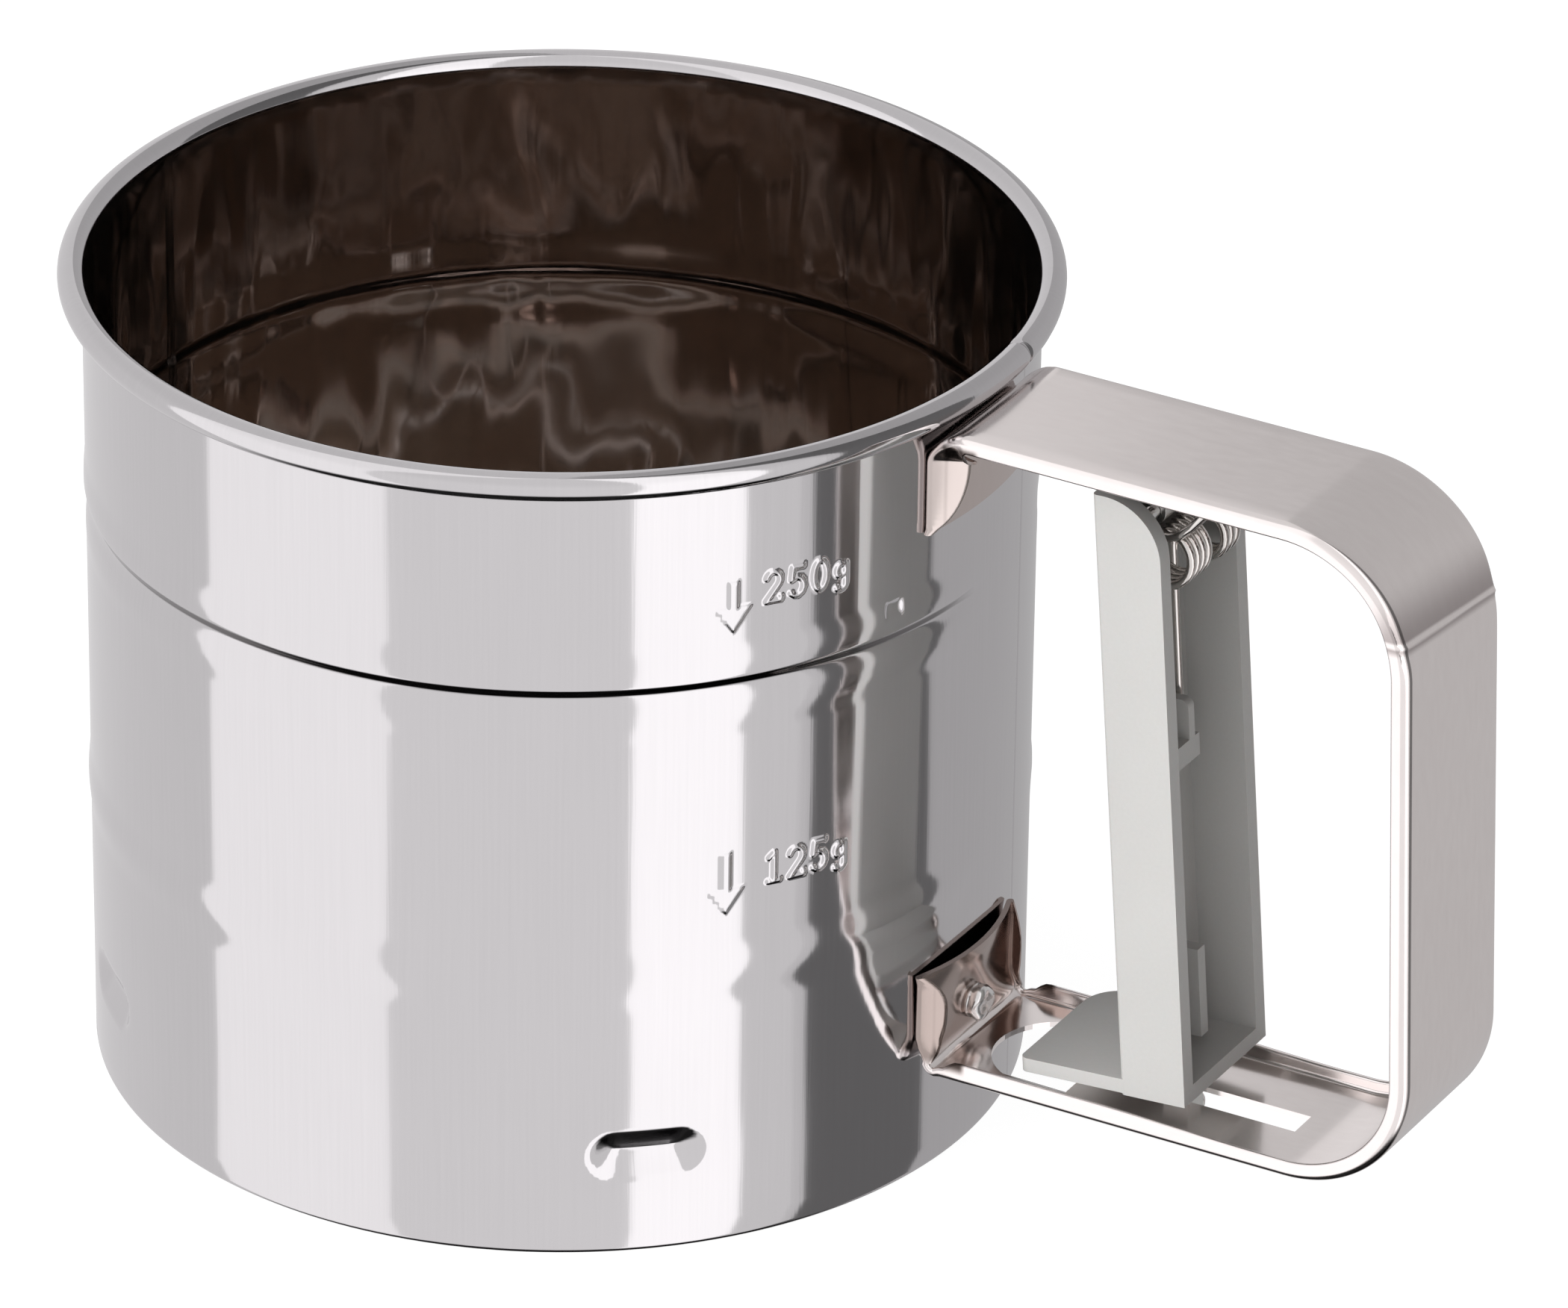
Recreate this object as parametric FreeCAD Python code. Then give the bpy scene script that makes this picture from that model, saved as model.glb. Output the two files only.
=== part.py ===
"""One-hand flour sifter: a stainless cup with a sieve in its foot and a squeeze handle.

Frame: origin at the centre of the cup's foot, +Z up the cup's axis, +X towards the handle.
All lengths are in millimetres and all angles in degrees.
"""
import FreeCAD, Part
import math
import os

from FreeCAD import Vector

os.makedirs("parts", exist_ok=True)

# ---------------------------------------------------------------- driving dimensions
CUP_R = 50.0               # outer radius of the plain wall
CUP_H = 91.3               # foot to the top of the rim curl
CUP_T = 0.5                # sheet of the cup
CURL_R = 1.5               # radius of the rim curl, rolled outwards
CURL_END = -120.0          # the curl ends at this angle, short of the wall
HEM_W = 2.9                # the foot is hemmed inwards to this thickness
HEM_H = 1.6
HEM_ROUND = 0.7            # outer rounding of the hem

BEAD_UP_Z = 64.0           # stiffening beads: middle, half height and how far they stand proud
BEAD_UP_HALF = 4.3
BEAD_UP_OUT = 0.45
BEAD_STEPS = 4             # curve points on each half of a bead
BEAD_LOW_Z = 31.8
BEAD_LOW_HALF = 3.6
BEAD_LOW_OUT = 0.35

DIMPLE_Z = 11.6            # slots pressed into the wall above the sieve
DIMPLE_LEN = 12.0
DIMPLE_HALF = 2.6
DIMPLE_IN = 1.3
DIMPLE_ANGLES = (-48.3, 48.3, 131.7, -131.7)

STRAP_W = 20.3             # width of the handle strap
STRAP_T = 0.6
LIP = 2.1                  # depth of the rolled edges of the strap, over the sheet
STRAP_EDGE_R = 0.9         # outer rounding between the strap and its lips
GRIP_TOP_Z = 88.1          # top face of the upper arm
GRIP_X_HIGH = 105.1        # outer face of the grip, where the upper bend ends
GRIP_X_LOW = 106.5         # outer face of the grip, where the lower bend starts
GRIP_Z_HIGH = 72.0
GRIP_Z_LOW = 36.0
ARM_LOW_Z = 12.85          # underside of the lower arm, at the cup
ARM_LOW_RISE = 0.0145      # rise of the lower arm per millimetre outwards
BEND_UP_R = 15.0
BEND_LOW_R = 14.0
ROOT_UP_R = 3.8            # bend from the upper flange into the upper arm
ROOT_LOW_R = 1.6
MIN_BEND_R = 0.3           # smallest inside radius of a bend
FLANGE_GAP = 0.05          # flanges lie on the cup wall with this gap
FLANGE_UP_END = 76.0       # lower end of the upper flange
FLANGE_LOW_END = 24.2      # upper end of the lower flange

WINDOW_MID = 61.3          # window in the floor of the lower arm, round at the cup's side
WINDOW_R = 7.2
WINDOW_END = 65.6
SLOT_START = 73.4          # slot for the trigger's tab
SLOT_END = 90.1
SLOT_W = 3.6

HINGE_X = 73.0             # axis of the trigger's hinge pin
HINGE_Z = 82.9
PIN_R = 0.8
BARREL_R = 1.4             # hinge bracket: edge curled to a barrel round the pin
BARREL_HALF = 5.0
RUNNING = 0.05             # radial clearance of a running fit

TRIGGER_W = 17.8           # moulded trigger, a channel open towards the grip
TRIGGER_LEAN = 4.5         # at rest its foot stands this many degrees further out
TRIGGER_FRONT = -4.9       # front and back faces, measured from the hinge axis
TRIGGER_BACK = 2.7
TRIGGER_TOP = 2.6          # above the hinge axis
TRIGGER_LEN = 65.8         # below the hinge axis
TRIGGER_WALL = 2.0
TRIGGER_WEB = 1.2
TRIGGER_ROUND = 6.5
TONGUE_LEN = 11.9          # plate that points at the cup
TONGUE_TOP = 64.0
TONGUE_T = 1.6

ROD_R = 0.7                # drive rod, bent from wire
ROD_Z = 11.85
ROD_Y = -5.0               # lane of the rod between the cup and the trigger
ROD_TRIGGER_X = 76.3       # where it goes through the trigger's tab
CRANK_R = 14.0             # offset of the crank pin from the cup's axis
PIN_START_X = -6.16        # crank pin at rest, half its stroke short of the middle
SWING = 10.0               # travel of the trigger in degrees

MESH_Z = 6.5               # middle of the sieve cloth
MESH_T = 0.5
SIEVE_R = 49.2             # outer radius of the rings that hold the cloth
SIEVE_IN_R = 45.5
RING_T = 0.6
STUD_R = 2.0
STUD_HEAD_H = 0.9
STUD_TOP = 12.3
CLIP_Z = 11.0              # groove of the retaining clip
CLIP_T = 0.4
WASHER_T = 0.6             # washers above and below the cloth
UPPER_WASHER_T = 0.45
BLADE_R = 44.5
BLADE_T = 0.8
BLADE_H = 2.2
BLADE_Z = 7.3              # underside of the agitator's blades
HUB_R = 5.0
CRANK_Z = 9.7              # underside of the crank arm
CRANK_T = 0.8
CRANK_RIVET_R = 0.78
CRANK_RIVET_X = 4.9        # the rivets stand midway between the blades

RIVET_Z = 17.2             # handle's lower rivet
RIVET_R = 1.6

COIL_X = 74.3              # axis of the torsion spring
COIL_Z = 77.6
COIL_R = 2.9              # to the middle of the wire
WIRE_R = 0.5
LEG_R = 0.45               # straight wires, a little under the coils' wire
COIL_PITCH = 1.14
HOOK_W = 23.7              # spring hook of the trigger, below the hinge axis
LOOP_Y = 0.9               # middle of the spring's centre loop
LOOP_HALF = 1.3
HOOK_HALF = 0.6            # half the thickness of the post that stands between the loop's two wires
HOOK_H = 6.9               # height of the post, with a cross bar at its foot
TURNS_NEAR = 4.25          # turns of the spring's two coils
TURNS_FAR = 3.25


# ---------------------------------------------------------------- helpers
def save(name, shape):
    """Write one node and report its solids and volume."""
    print(f"{name:20s} solids {len(shape.Solids)} valid {shape.isValid()} volume {shape.Volume:9.2f}")
    shape.exportStep(f"parts/{name}.step")


def one_solid(shape):
    """Return the only solid of a boolean result, so that the node is a plain solid."""
    solids = shape.Solids
    if len(solids) != 1:
        raise ValueError(f"expected one solid, found {len(solids)}")
    return solids[0]


def ring(r_in, r_out, z0, z1):
    """A plain ring about the cup's axis."""
    outer = Part.makeCylinder(r_out, z1 - z0, Vector(0, 0, z0))
    return outer.cut(Part.makeCylinder(r_in, z1 - z0 + 2, Vector(0, 0, z0 - 1)))


def bar_y(x, z, radius, y0, y1):
    """A round bar that lies along Y."""
    return Part.makeCylinder(radius, y1 - y0, Vector(x, y0, z), Vector(0, 1, 0))


def rod_between(a, b, radius):
    """A round bar from point a to point b."""
    run = b.sub(a)
    return Part.makeCylinder(radius, run.Length, a, run)


def lean(shape):
    """Turn a shape that is built upright at the hinge by the trigger's lean at rest."""
    shape.rotate(Vector(HINGE_X, 0, HINGE_Z), Vector(0, -1, 0), TRIGGER_LEAN)
    return shape


# ---------------------------------------------------------------- cup
def bead(z, middle, half, out):
    """Height of a rounded bead at z, zero outside it."""
    if abs(z - middle) >= half:
        return 0.0
    return out * 0.5 * (1 + math.cos(math.pi * (z - middle) / half))


def wall_radius(z):
    """Outer radius of the cup wall at height z."""
    upper = bead(z, BEAD_UP_Z, BEAD_UP_HALF, BEAD_UP_OUT)
    lower = bead(z, BEAD_LOW_Z, BEAD_LOW_HALF, BEAD_LOW_OUT)
    return CUP_R + upper + lower


def bead_edges(inset, middle, half):
    """Curved edge of one bead, on the outer face or moved inwards by the sheet."""
    steps = [middle - half + step * half / BEAD_STEPS for step in range(2 * BEAD_STEPS + 1)]
    curve = Part.BSplineCurve()
    curve.interpolate([Vector(wall_radius(z) - inset, 0, z) for z in steps])
    return curve.toShape()


def wall_edges(inset, z_low, z_high):
    """One face of the wall, from z_low up to z_high, as lines and bead curves."""
    edges = []
    radius = CUP_R - inset
    z = z_low
    for middle, half in ((BEAD_LOW_Z, BEAD_LOW_HALF), (BEAD_UP_Z, BEAD_UP_HALF)):
        edges.append(line_rz(radius, z, radius, middle - half))
        edges.append(bead_edges(inset, middle, half))
        z = middle + half
    edges.append(line_rz(radius, z, radius, z_high))
    return edges


def line_rz(r0, z0, r1, z1):
    """Straight edge between two (radius, height) points."""
    return Part.LineSegment(Vector(r0, 0, z0), Vector(r1, 0, z1)).toShape()


def arc_about(middle, radius, start, end):
    """Arc about a (radius, height) point, between two angles, with its end points."""
    points = []
    for angle in (start, (start + end) / 2, end):
        turn = math.radians(angle)
        points.append(Vector(middle[0] + radius * math.cos(turn), 0, middle[1] + radius * math.sin(turn)))
    return Part.Arc(*points).toShape(), points[0], points[2]


def cup_wall():
    """Wall with its two beads, a hemmed foot and the open rim curl."""
    curl_mid = (CUP_R - CUP_T + CURL_R, CUP_H - CURL_R)
    bore, _, bore_end = arc_about(curl_mid, CURL_R - CUP_T, 180, CURL_END)
    back, _, back_end = arc_about(curl_mid, CURL_R, 180, CURL_END)
    hem_in = CUP_R - HEM_W
    round_mid = (CUP_R - HEM_ROUND, HEM_ROUND)
    foot, foot_start, foot_end = arc_about(round_mid, HEM_ROUND, -90, 0)
    edges = wall_edges(0, foot_end.z, curl_mid[1]) + wall_edges(CUP_T, HEM_H, curl_mid[1])
    edges += [bore, back, Part.LineSegment(bore_end, back_end).toShape(), foot]
    edges.append(line_rz(CUP_R - CUP_T, HEM_H, hem_in, HEM_H))
    edges.append(line_rz(hem_in, HEM_H, hem_in, 0))
    edges.append(line_rz(hem_in, 0, foot_start.x, 0))
    face = Part.Face(Part.Wire(Part.__sortEdges__(edges)))
    return one_solid(face.revolve(Vector(0, 0, 0), Vector(0, 0, 1), 360))


def dimple_blank(radius, half, length):
    """A slot-shaped pad that lies across the wall at the angle 0."""
    straight = length / 2 - half
    pad = Part.makeBox(8, 2 * straight, 2 * half, Vector(radius, -straight, DIMPLE_Z - half))
    for side in (-1, 1):
        end = Vector(radius, side * straight, DIMPLE_Z)
        pad = pad.fuse(Part.makeCylinder(half, 8, end, Vector(1, 0, 0)))
    return pad


def cup_body():
    """Cup wall with the pressed slots and the opening for the drive rod."""
    cup = cup_wall()
    for angle in DIMPLE_ANGLES:
        floor_r = CUP_R - DIMPLE_IN
        pocket = dimple_blank(floor_r - 0.9, DIMPLE_HALF, DIMPLE_LEN)
        shell = dimple_blank(floor_r - CUP_T - 0.9, DIMPLE_HALF + CUP_T, DIMPLE_LEN + 2 * CUP_T)
        shell = shell.common(Part.makeCylinder(CUP_R - 0.2, 30, Vector(0, 0, 0)))
        for tool in (pocket, shell):
            tool.rotate(Vector(0, 0, 0), Vector(0, 0, 1), angle)
        cup = cup.fuse(shell).cut(pocket)
    slot = Part.makeBox(6, 2 * ROD_R + 1.2, 2 * ROD_R + 1.0,
                        Vector(CUP_R - 4, ROD_Y - ROD_R - 0.6, ROD_Z - ROD_R - 0.5))
    cup = cup.cut(slot)
    cup = cup.cut(bar_x(RIVET_R + 0.05, CUP_R - 4, CUP_R + 4, 0, RIVET_Z))
    return one_solid(cup)


def bar_x(radius, x0, x1, y, z):
    """A round bar that lies along X."""
    return Part.makeCylinder(radius, x1 - x0, Vector(x0, y, z), Vector(1, 0, 0))


# ---------------------------------------------------------------- sieve
def sieve_lower_ring():
    """Ring that stands on the hem and carries the cloth."""
    top = MESH_Z - MESH_T / 2
    skirt = ring(SIEVE_R - RING_T, SIEVE_R, HEM_H, top)
    shelf = ring(SIEVE_IN_R, SIEVE_R, top - RING_T, top)
    return one_solid(skirt.fuse(shelf))


def sieve_upper_ring():
    """Angle ring that clamps the cloth from above, held down by the pressed slots."""
    bottom = MESH_Z + MESH_T / 2
    top = DIMPLE_Z - DIMPLE_HALF - CUP_T - 0.1
    flat = ring(SIEVE_IN_R, SIEVE_R, bottom, bottom + RING_T)
    skirt = ring(SIEVE_R - RING_T, SIEVE_R, bottom, top)
    return one_solid(flat.fuse(skirt))


def sieve_mesh():
    """Wire cloth, as a disc of its own thickness with a hole for the stud."""
    return one_solid(ring(STUD_R, SIEVE_R - 0.2, MESH_Z - MESH_T / 2, MESH_Z + MESH_T / 2))


def pivot_stud():
    """Stud riveted through the cloth: head below, shank up through the agitator."""
    foot = MESH_Z - MESH_T / 2 - WASHER_T - STUD_HEAD_H
    shank = Part.makeCylinder(STUD_R, STUD_TOP - foot, Vector(0, 0, foot))
    head = Part.makeCylinder(3.6, STUD_HEAD_H, Vector(0, 0, foot))
    groove = ring(STUD_R - 0.4, STUD_R + 1, CLIP_Z, CLIP_Z + CLIP_T + 0.1)
    head = head.makeFillet(0.4, [edge for edge in head.Edges if edge.BoundBox.ZMax < foot + 0.1])
    return one_solid(shank.fuse(head).cut(groove))


def stud_washer(z0, r_out, thickness, r_in):
    """Washer round the pivot stud."""
    return one_solid(ring(r_in, r_out, z0, z0 + thickness))


def retaining_clip():
    """Open ring in the stud's groove, above the crank arm."""
    z0 = CLIP_Z + 0.05
    clip = ring(STUD_R - 0.35, STUD_R + 1.3, z0, z0 + CLIP_T)
    gap = Part.makeBox(6, 1.6, 2, Vector(0, -0.8, z0 - 0.5))
    return one_solid(clip.cut(gap))


# ---------------------------------------------------------------- agitator
def agitator_hub():
    """Bush that turns on the stud, with a flange for the blades and the crank."""
    bore = STUD_R + RUNNING
    tube = ring(bore, 3.4, BLADE_Z, CRANK_Z + CRANK_T)
    foot = ring(bore, HUB_R, BLADE_Z, BLADE_Z + 0.6)
    return one_solid(tube.fuse(foot))


def agitator_spider():
    """Four strip blades on edge, swept back at their tips, joined by a ring round the hub."""
    z0 = BLADE_Z + 0.6
    body = ring(3.4 + 0.02, HUB_R + 1.5, z0, z0 + BLADE_T)
    for turn in range(4):
        inner = Vector(HUB_R, -BLADE_T / 2, BLADE_Z)
        bend = BLADE_R * 0.62
        arm = Part.makeBox(bend - HUB_R, BLADE_T, BLADE_H, inner)
        tip = Part.makeBox(BLADE_R - bend, BLADE_T, BLADE_H, Vector(bend, -BLADE_T / 2, BLADE_Z))
        tip.rotate(Vector(bend, 0, 0), Vector(0, 0, 1), -14)
        elbow = Part.makeCylinder(BLADE_T / 2, BLADE_H, Vector(bend, 0, BLADE_Z))
        blade = arm.fuse([tip, elbow])
        blade.rotate(Vector(0, 0, 0), Vector(0, 0, 1), 45 + 90 * turn)
        body = body.fuse(blade)
    body = body.cut(Part.makeCylinder(HUB_R + 0.02, 0.61, Vector(0, 0, BLADE_Z - 0.01)))
    for rivet in rivet_places():
        body = body.cut(Part.makeCylinder(CRANK_RIVET_R + 0.02, 3, Vector(rivet.x, rivet.y, z0 - 1)))
    return one_solid(body)


def rivet_places():
    """Middles of the two crank rivets, on either side of the stud."""
    return [Vector(side * CRANK_RIVET_X, 0, 0) for side in (-1, 1)]


def crank_arm():
    """Arm on the hub with a radial slot for the crank pin, built towards -Y."""
    half = 2.6
    slot_in = CRANK_R - 0.3
    slot_out = CRANK_R + 1.5
    slot_r = ROD_R + 0.35
    z0 = CRANK_Z
    arm = Part.makeCylinder(6.2, CRANK_T, Vector(0, 0, z0))
    arm = arm.fuse(Part.makeBox(2 * half, slot_out, CRANK_T, Vector(-half, -slot_out, z0)))
    arm = arm.fuse(Part.makeCylinder(half, CRANK_T, Vector(0, -slot_out, z0)))
    arm = arm.cut(Part.makeCylinder(3.4 + 0.02, CRANK_T + 2, Vector(0, 0, z0 - 1)))
    arm = arm.cut(Part.makeBox(2 * slot_r, slot_out - slot_in, 3, Vector(-slot_r, -slot_out, z0 - 1)))
    for y in (slot_in, slot_out):
        arm = arm.cut(Part.makeCylinder(slot_r, 3, Vector(0, -y, z0 - 1)))
    arm.rotate(Vector(0, 0, 0), Vector(0, 0, 1), crank_rest_angle())
    for rivet in rivet_places():
        arm = arm.cut(Part.makeCylinder(CRANK_RIVET_R + 0.02, 3, Vector(rivet.x, rivet.y, z0 - 1)))
    return one_solid(arm)


def crank_rest_angle():
    """Angle of the crank arm at rest, from -Y."""
    return math.degrees(math.atan2(PIN_START_X, CRANK_R))


def crank_rivets():
    """Two shouldered rivets that join the crank arm to the spider's ring."""
    ring_foot = BLADE_Z + 0.6
    ring_top = ring_foot + BLADE_T
    crank_top = CRANK_Z + CRANK_T
    rivets = []
    for place in rivet_places():
        shank = Part.makeCylinder(CRANK_RIVET_R, crank_top - ring_foot, Vector(place.x, place.y, ring_foot))
        head = Part.makeCylinder(CRANK_RIVET_R + 0.5, 0.5, Vector(place.x, place.y, crank_top))
        shoulder = Part.makeCylinder(CRANK_RIVET_R + 0.4, CRANK_Z - ring_top, Vector(place.x, place.y, ring_top))
        rivets.append(one_solid(shank.fuse([head, shoulder])))
    return Part.makeCompound(rivets)


# ---------------------------------------------------------------- drive rod
def rod_points():
    """Corners of the drive rod, from the trigger's tab to the crank pin."""
    return [
        Vector(ROD_TRIGGER_X, 2.9, ROD_Z),
        Vector(ROD_TRIGGER_X, ROD_Y, ROD_Z),
        Vector(36.0, ROD_Y, ROD_Z),
        Vector(4.0, -CRANK_R, ROD_Z),
        Vector(PIN_START_X, -CRANK_R, ROD_Z),
        Vector(PIN_START_X, -CRANK_R, CRANK_Z - 1.0),
    ]


def drive_rod():
    """Bent wire: straight runs joined by balls at its corners."""
    points = rod_points()
    rod = rod_between(points[0], points[1], ROD_R)
    for a, b in zip(points[1:], points[2:]):
        rod = rod.fuse([Part.makeSphere(ROD_R, a), rod_between(a, b, ROD_R)])
    return one_solid(rod)


def push_nut(at, direction):
    """Small spring-steel nut pushed onto the end of the rod."""
    nut = Part.makeCylinder(1.25, 0.4, at, direction)
    collar = Part.makeCylinder(1.05, 0.8, at, direction)
    back = at.sub(Vector(direction).multiply(1))
    bore = Part.makeCylinder(ROD_R, 4, back, direction)
    return one_solid(nut.fuse(collar).cut(bore))


# ---------------------------------------------------------------- handle strap
def meet(p, u, q, v):
    """Point where the line p + a*u meets q + b*v, in the XZ plane."""
    det = u[0] * -v[1] + v[0] * u[1]
    a = ((q[0] - p[0]) * -v[1] + v[0] * (q[1] - p[1])) / det
    return (p[0] + a * u[0], p[1] + a * u[1])


def strap_corners(inset):
    """Corners of the strap's line, moved inwards by inset, from the upper to the lower flange."""
    grip_run = (GRIP_X_LOW - GRIP_X_HIGH, GRIP_Z_LOW - GRIP_Z_HIGH)
    grip_len = math.hypot(*grip_run)
    arm_len = math.hypot(1, ARM_LOW_RISE)
    flange = (CUP_R + FLANGE_GAP + inset, 0)
    top = (0, GRIP_TOP_Z - inset)
    grip = (GRIP_X_HIGH + inset * grip_run[1] / grip_len, GRIP_Z_HIGH - inset * grip_run[0] / grip_len)
    low = (CUP_R - inset * ARM_LOW_RISE / arm_len, ARM_LOW_Z + inset / arm_len)
    up, out, rise = (0, 1), (1, 0), (1, ARM_LOW_RISE)
    return [
        (flange[0], FLANGE_UP_END),
        meet(flange, up, top, out),
        meet(top, out, grip, grip_run),
        meet(grip, grip_run, low, rise),
        meet(low, rise, flange, up),
        (flange[0], FLANGE_LOW_END),
    ]


def rounded_path(corners, radii, y):
    """Edges of an open line through the corners, with each inner corner rounded."""
    edges = []
    start = Vector(corners[0][0], y, corners[0][1])
    for before, corner, after, radius in zip(corners, corners[1:], corners[2:], radii):
        here = Vector(corner[0], y, corner[1])
        back = Vector(before[0], y, before[1]).sub(here).normalize()
        ahead = Vector(after[0], y, after[1]).sub(here).normalize()
        half = back.getAngle(ahead) / 2
        reach = radius / math.tan(half)
        into = here.add(Vector(back).multiply(reach))
        out = here.add(Vector(ahead).multiply(reach))
        middle_dir = back.add(ahead).normalize()
        middle = here.add(Vector(middle_dir).multiply(radius / math.sin(half) - radius))
        edges.append(Part.LineSegment(start, into).toShape())
        edges.append(Part.Arc(into, middle, out).toShape())
        start = out
    end = Vector(corners[-1][0], y, corners[-1][1])
    edges.append(Part.LineSegment(start, end).toShape())
    return edges


def strap_line(inset, y):
    """Edges of the strap's line, moved inwards by inset."""
    radii = [max(r - inset, MIN_BEND_R) for r in (ROOT_UP_R, BEND_UP_R, BEND_LOW_R, ROOT_LOW_R)]
    return rounded_path(strap_corners(inset), radii, y)


def strap_band(inset_a, inset_b, y0, y1):
    """Solid between two parallel lines of the strap, from y0 to y1."""
    sides = [strap_line(inset, y0) for inset in (inset_a, inset_b)]
    ends = []
    for index, vertex in ((0, 0), (-1, -1)):
        a = sides[0][index].Vertexes[vertex].Point
        b = sides[1][index].Vertexes[vertex].Point
        ends.append(Part.LineSegment(a, b).toShape())
    wire = Part.Wire(Part.__sortEdges__(sides[0] + sides[1] + ends))
    return Part.Face(wire).extrude(Vector(0, y1 - y0, 0))


def flange_wrap(z0, z1):
    """Part of a shell that lies round the cup wall, as wide as the strap."""
    r_in = CUP_R + FLANGE_GAP
    shell = ring(r_in, r_in + STRAP_T, z0, z1)
    return shell.common(Part.makeBox(20, STRAP_W, z1 - z0, Vector(40, -STRAP_W / 2, z0)))


def flange_lip(z_end, z_root, y0):
    """Lip of a flange: as deep as the strap's at the root, running out to nothing at the end."""
    inner_x = math.sqrt(CUP_R ** 2 - (STRAP_W / 2) ** 2) + FLANGE_GAP + 0.05
    reach = CUP_R + FLANGE_GAP + LIP
    z_mid = z_end + 0.62 * (z_root - z_end)
    foot = Vector(inner_x + 0.8, y0, z_end)
    belly = Vector(reach - 0.45, y0, z_end + 0.34 * (z_root - z_end))
    arc = Part.Arc(foot, belly, Vector(reach, y0, z_mid)).toShape()
    corners = [(reach, z_mid), (reach, z_root), (inner_x, z_root), (inner_x, z_end), (inner_x + 0.8, z_end)]
    lines = []
    for a, b in zip(corners, corners[1:]):
        lines.append(Part.LineSegment(Vector(a[0], y0, a[1]), Vector(b[0], y0, b[1])).toShape())
    face = Part.Face(Part.Wire(Part.__sortEdges__([arc] + lines)))
    return face.extrude(Vector(0, STRAP_T, 0))


def handle_strap():
    """Strap bent to a loop: sheet with both long edges rolled inwards, and a flange at each end."""
    half = STRAP_W / 2
    band = strap_band(0, STRAP_T, -half, half)
    lips = [strap_band(0, LIP, -half, -half + STRAP_T), strap_band(0, LIP, half - STRAP_T, half)]
    channel = round_folds(one_solid(band.fuse(lips).removeSplitter()))
    r_in = CUP_R + FLANGE_GAP
    up_root = GRIP_TOP_Z - ROOT_UP_R
    low_root = ARM_LOW_Z + ROOT_LOW_R
    keep = Part.makeBox(80, STRAP_W + 2, 120, Vector(r_in, -half - 1, -10))
    flange_zone = Part.makeBox(LIP + 0.5, STRAP_W + 2, up_root - low_root, Vector(r_in - 0.25, -half - 1, low_root))
    channel = channel.common(keep).cut(flange_zone)
    filler_up = Part.makeBox(2, STRAP_W, STRAP_T + 0.8, Vector(r_in - 1.5 + STRAP_T, -half, up_root - 0.8))
    filler_low = Part.makeBox(2, STRAP_W, STRAP_T + 0.8, Vector(r_in - 1.5 + STRAP_T, -half, low_root - STRAP_T))
    pieces = [flange_wrap(FLANGE_UP_END, up_root), flange_wrap(low_root, FLANGE_LOW_END)]
    for y0 in (-half, half - STRAP_T):
        pieces.append(flange_lip(FLANGE_UP_END, up_root + 0.3, y0))
        pieces.append(flange_lip(FLANGE_LOW_END, low_root - 0.3, y0))
    filler = filler_up.fuse(filler_low).cut(Part.makeBox(3, STRAP_W, 120, Vector(r_in + STRAP_T, -half, 0)))
    strap = channel.fuse(pieces + [filler])
    strap = strap.cut(Part.makeCylinder(r_in, 120, Vector(0, 0, -10)))
    strap = strap.cut(arm_openings())
    strap = strap.cut(bar_x(RIVET_R + 0.05, CUP_R - 4, CUP_R + 4, 0, RIVET_Z))
    return one_solid(strap.removeSplitter())


def round_folds(channel):
    """Round both folds between the strap and its lips, outside and inside."""
    half = STRAP_W / 2
    for side_y, inset, radius in ((half, 0, STRAP_EDGE_R), (half - STRAP_T, STRAP_T, STRAP_EDGE_R - STRAP_T)):
        folds = []
        for edge in channel.Edges:
            bound = edge.BoundBox
            if abs(abs(bound.YMin) - side_y) > 1e-4 or bound.YLength > 1e-4:
                continue
            middle = edge.valueAt((edge.FirstParameter + edge.LastParameter) / 2)
            if on_strap_line(middle, inset):
                folds.append(edge)
        channel = channel.makeFillet(radius, folds)
    return one_solid(channel)


def on_strap_line(point, inset):
    """True where a point lies on the strap's line that is moved inwards by inset."""
    line = Part.Wire(Part.__sortEdges__(strap_line(inset, point.y)))
    return line.distToShape(Part.Vertex(point))[0] < 0.02


def arm_openings():
    """Window and slot through the floor of the lower arm."""
    z0, height = ARM_LOW_Z - 2, 5
    window = Part.makeCylinder(WINDOW_R, height, Vector(WINDOW_MID, 0, z0))
    window = window.common(Part.makeBox(WINDOW_R, 4 * WINDOW_R, height,
                                        Vector(WINDOW_MID - WINDOW_R, -2 * WINDOW_R, z0)))
    window = window.fuse(Part.makeBox(WINDOW_END - WINDOW_MID, 2 * WINDOW_R, height,
                                      Vector(WINDOW_MID, -WINDOW_R, z0)))
    slot = Part.makeBox(SLOT_END - SLOT_START, SLOT_W, height, Vector(SLOT_START, -SLOT_W / 2, z0))
    return window.fuse(slot)


def hinge_bracket():
    """Plate welded under the upper arm, its front edge curled to a barrel round the hinge pin."""
    plate_top = GRIP_TOP_Z - STRAP_T
    sheet = BARREL_R - PIN_R - RUNNING
    barrel = bar_y(HINGE_X, HINGE_Z, BARREL_R, -BARREL_HALF, BARREL_HALF)
    riser_x = HINGE_X + BARREL_R - sheet
    riser = Part.makeBox(sheet, 2 * BARREL_HALF, plate_top - HINGE_Z, Vector(riser_x, -BARREL_HALF, HINGE_Z))
    plate = Part.makeBox(11, 2 * BARREL_HALF, sheet, Vector(riser_x, -BARREL_HALF, plate_top - sheet))
    bracket = barrel.fuse([riser, plate])
    return one_solid(bracket.cut(bar_y(HINGE_X, HINGE_Z, PIN_R + RUNNING / 2, -20, 20)))


def hinge_pin():
    """Pin through the barrel, its ends in the trigger's blind sockets."""
    half = TRIGGER_W / 2 - 0.8
    return one_solid(bar_y(HINGE_X, HINGE_Z, PIN_R, -half, half))


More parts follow.
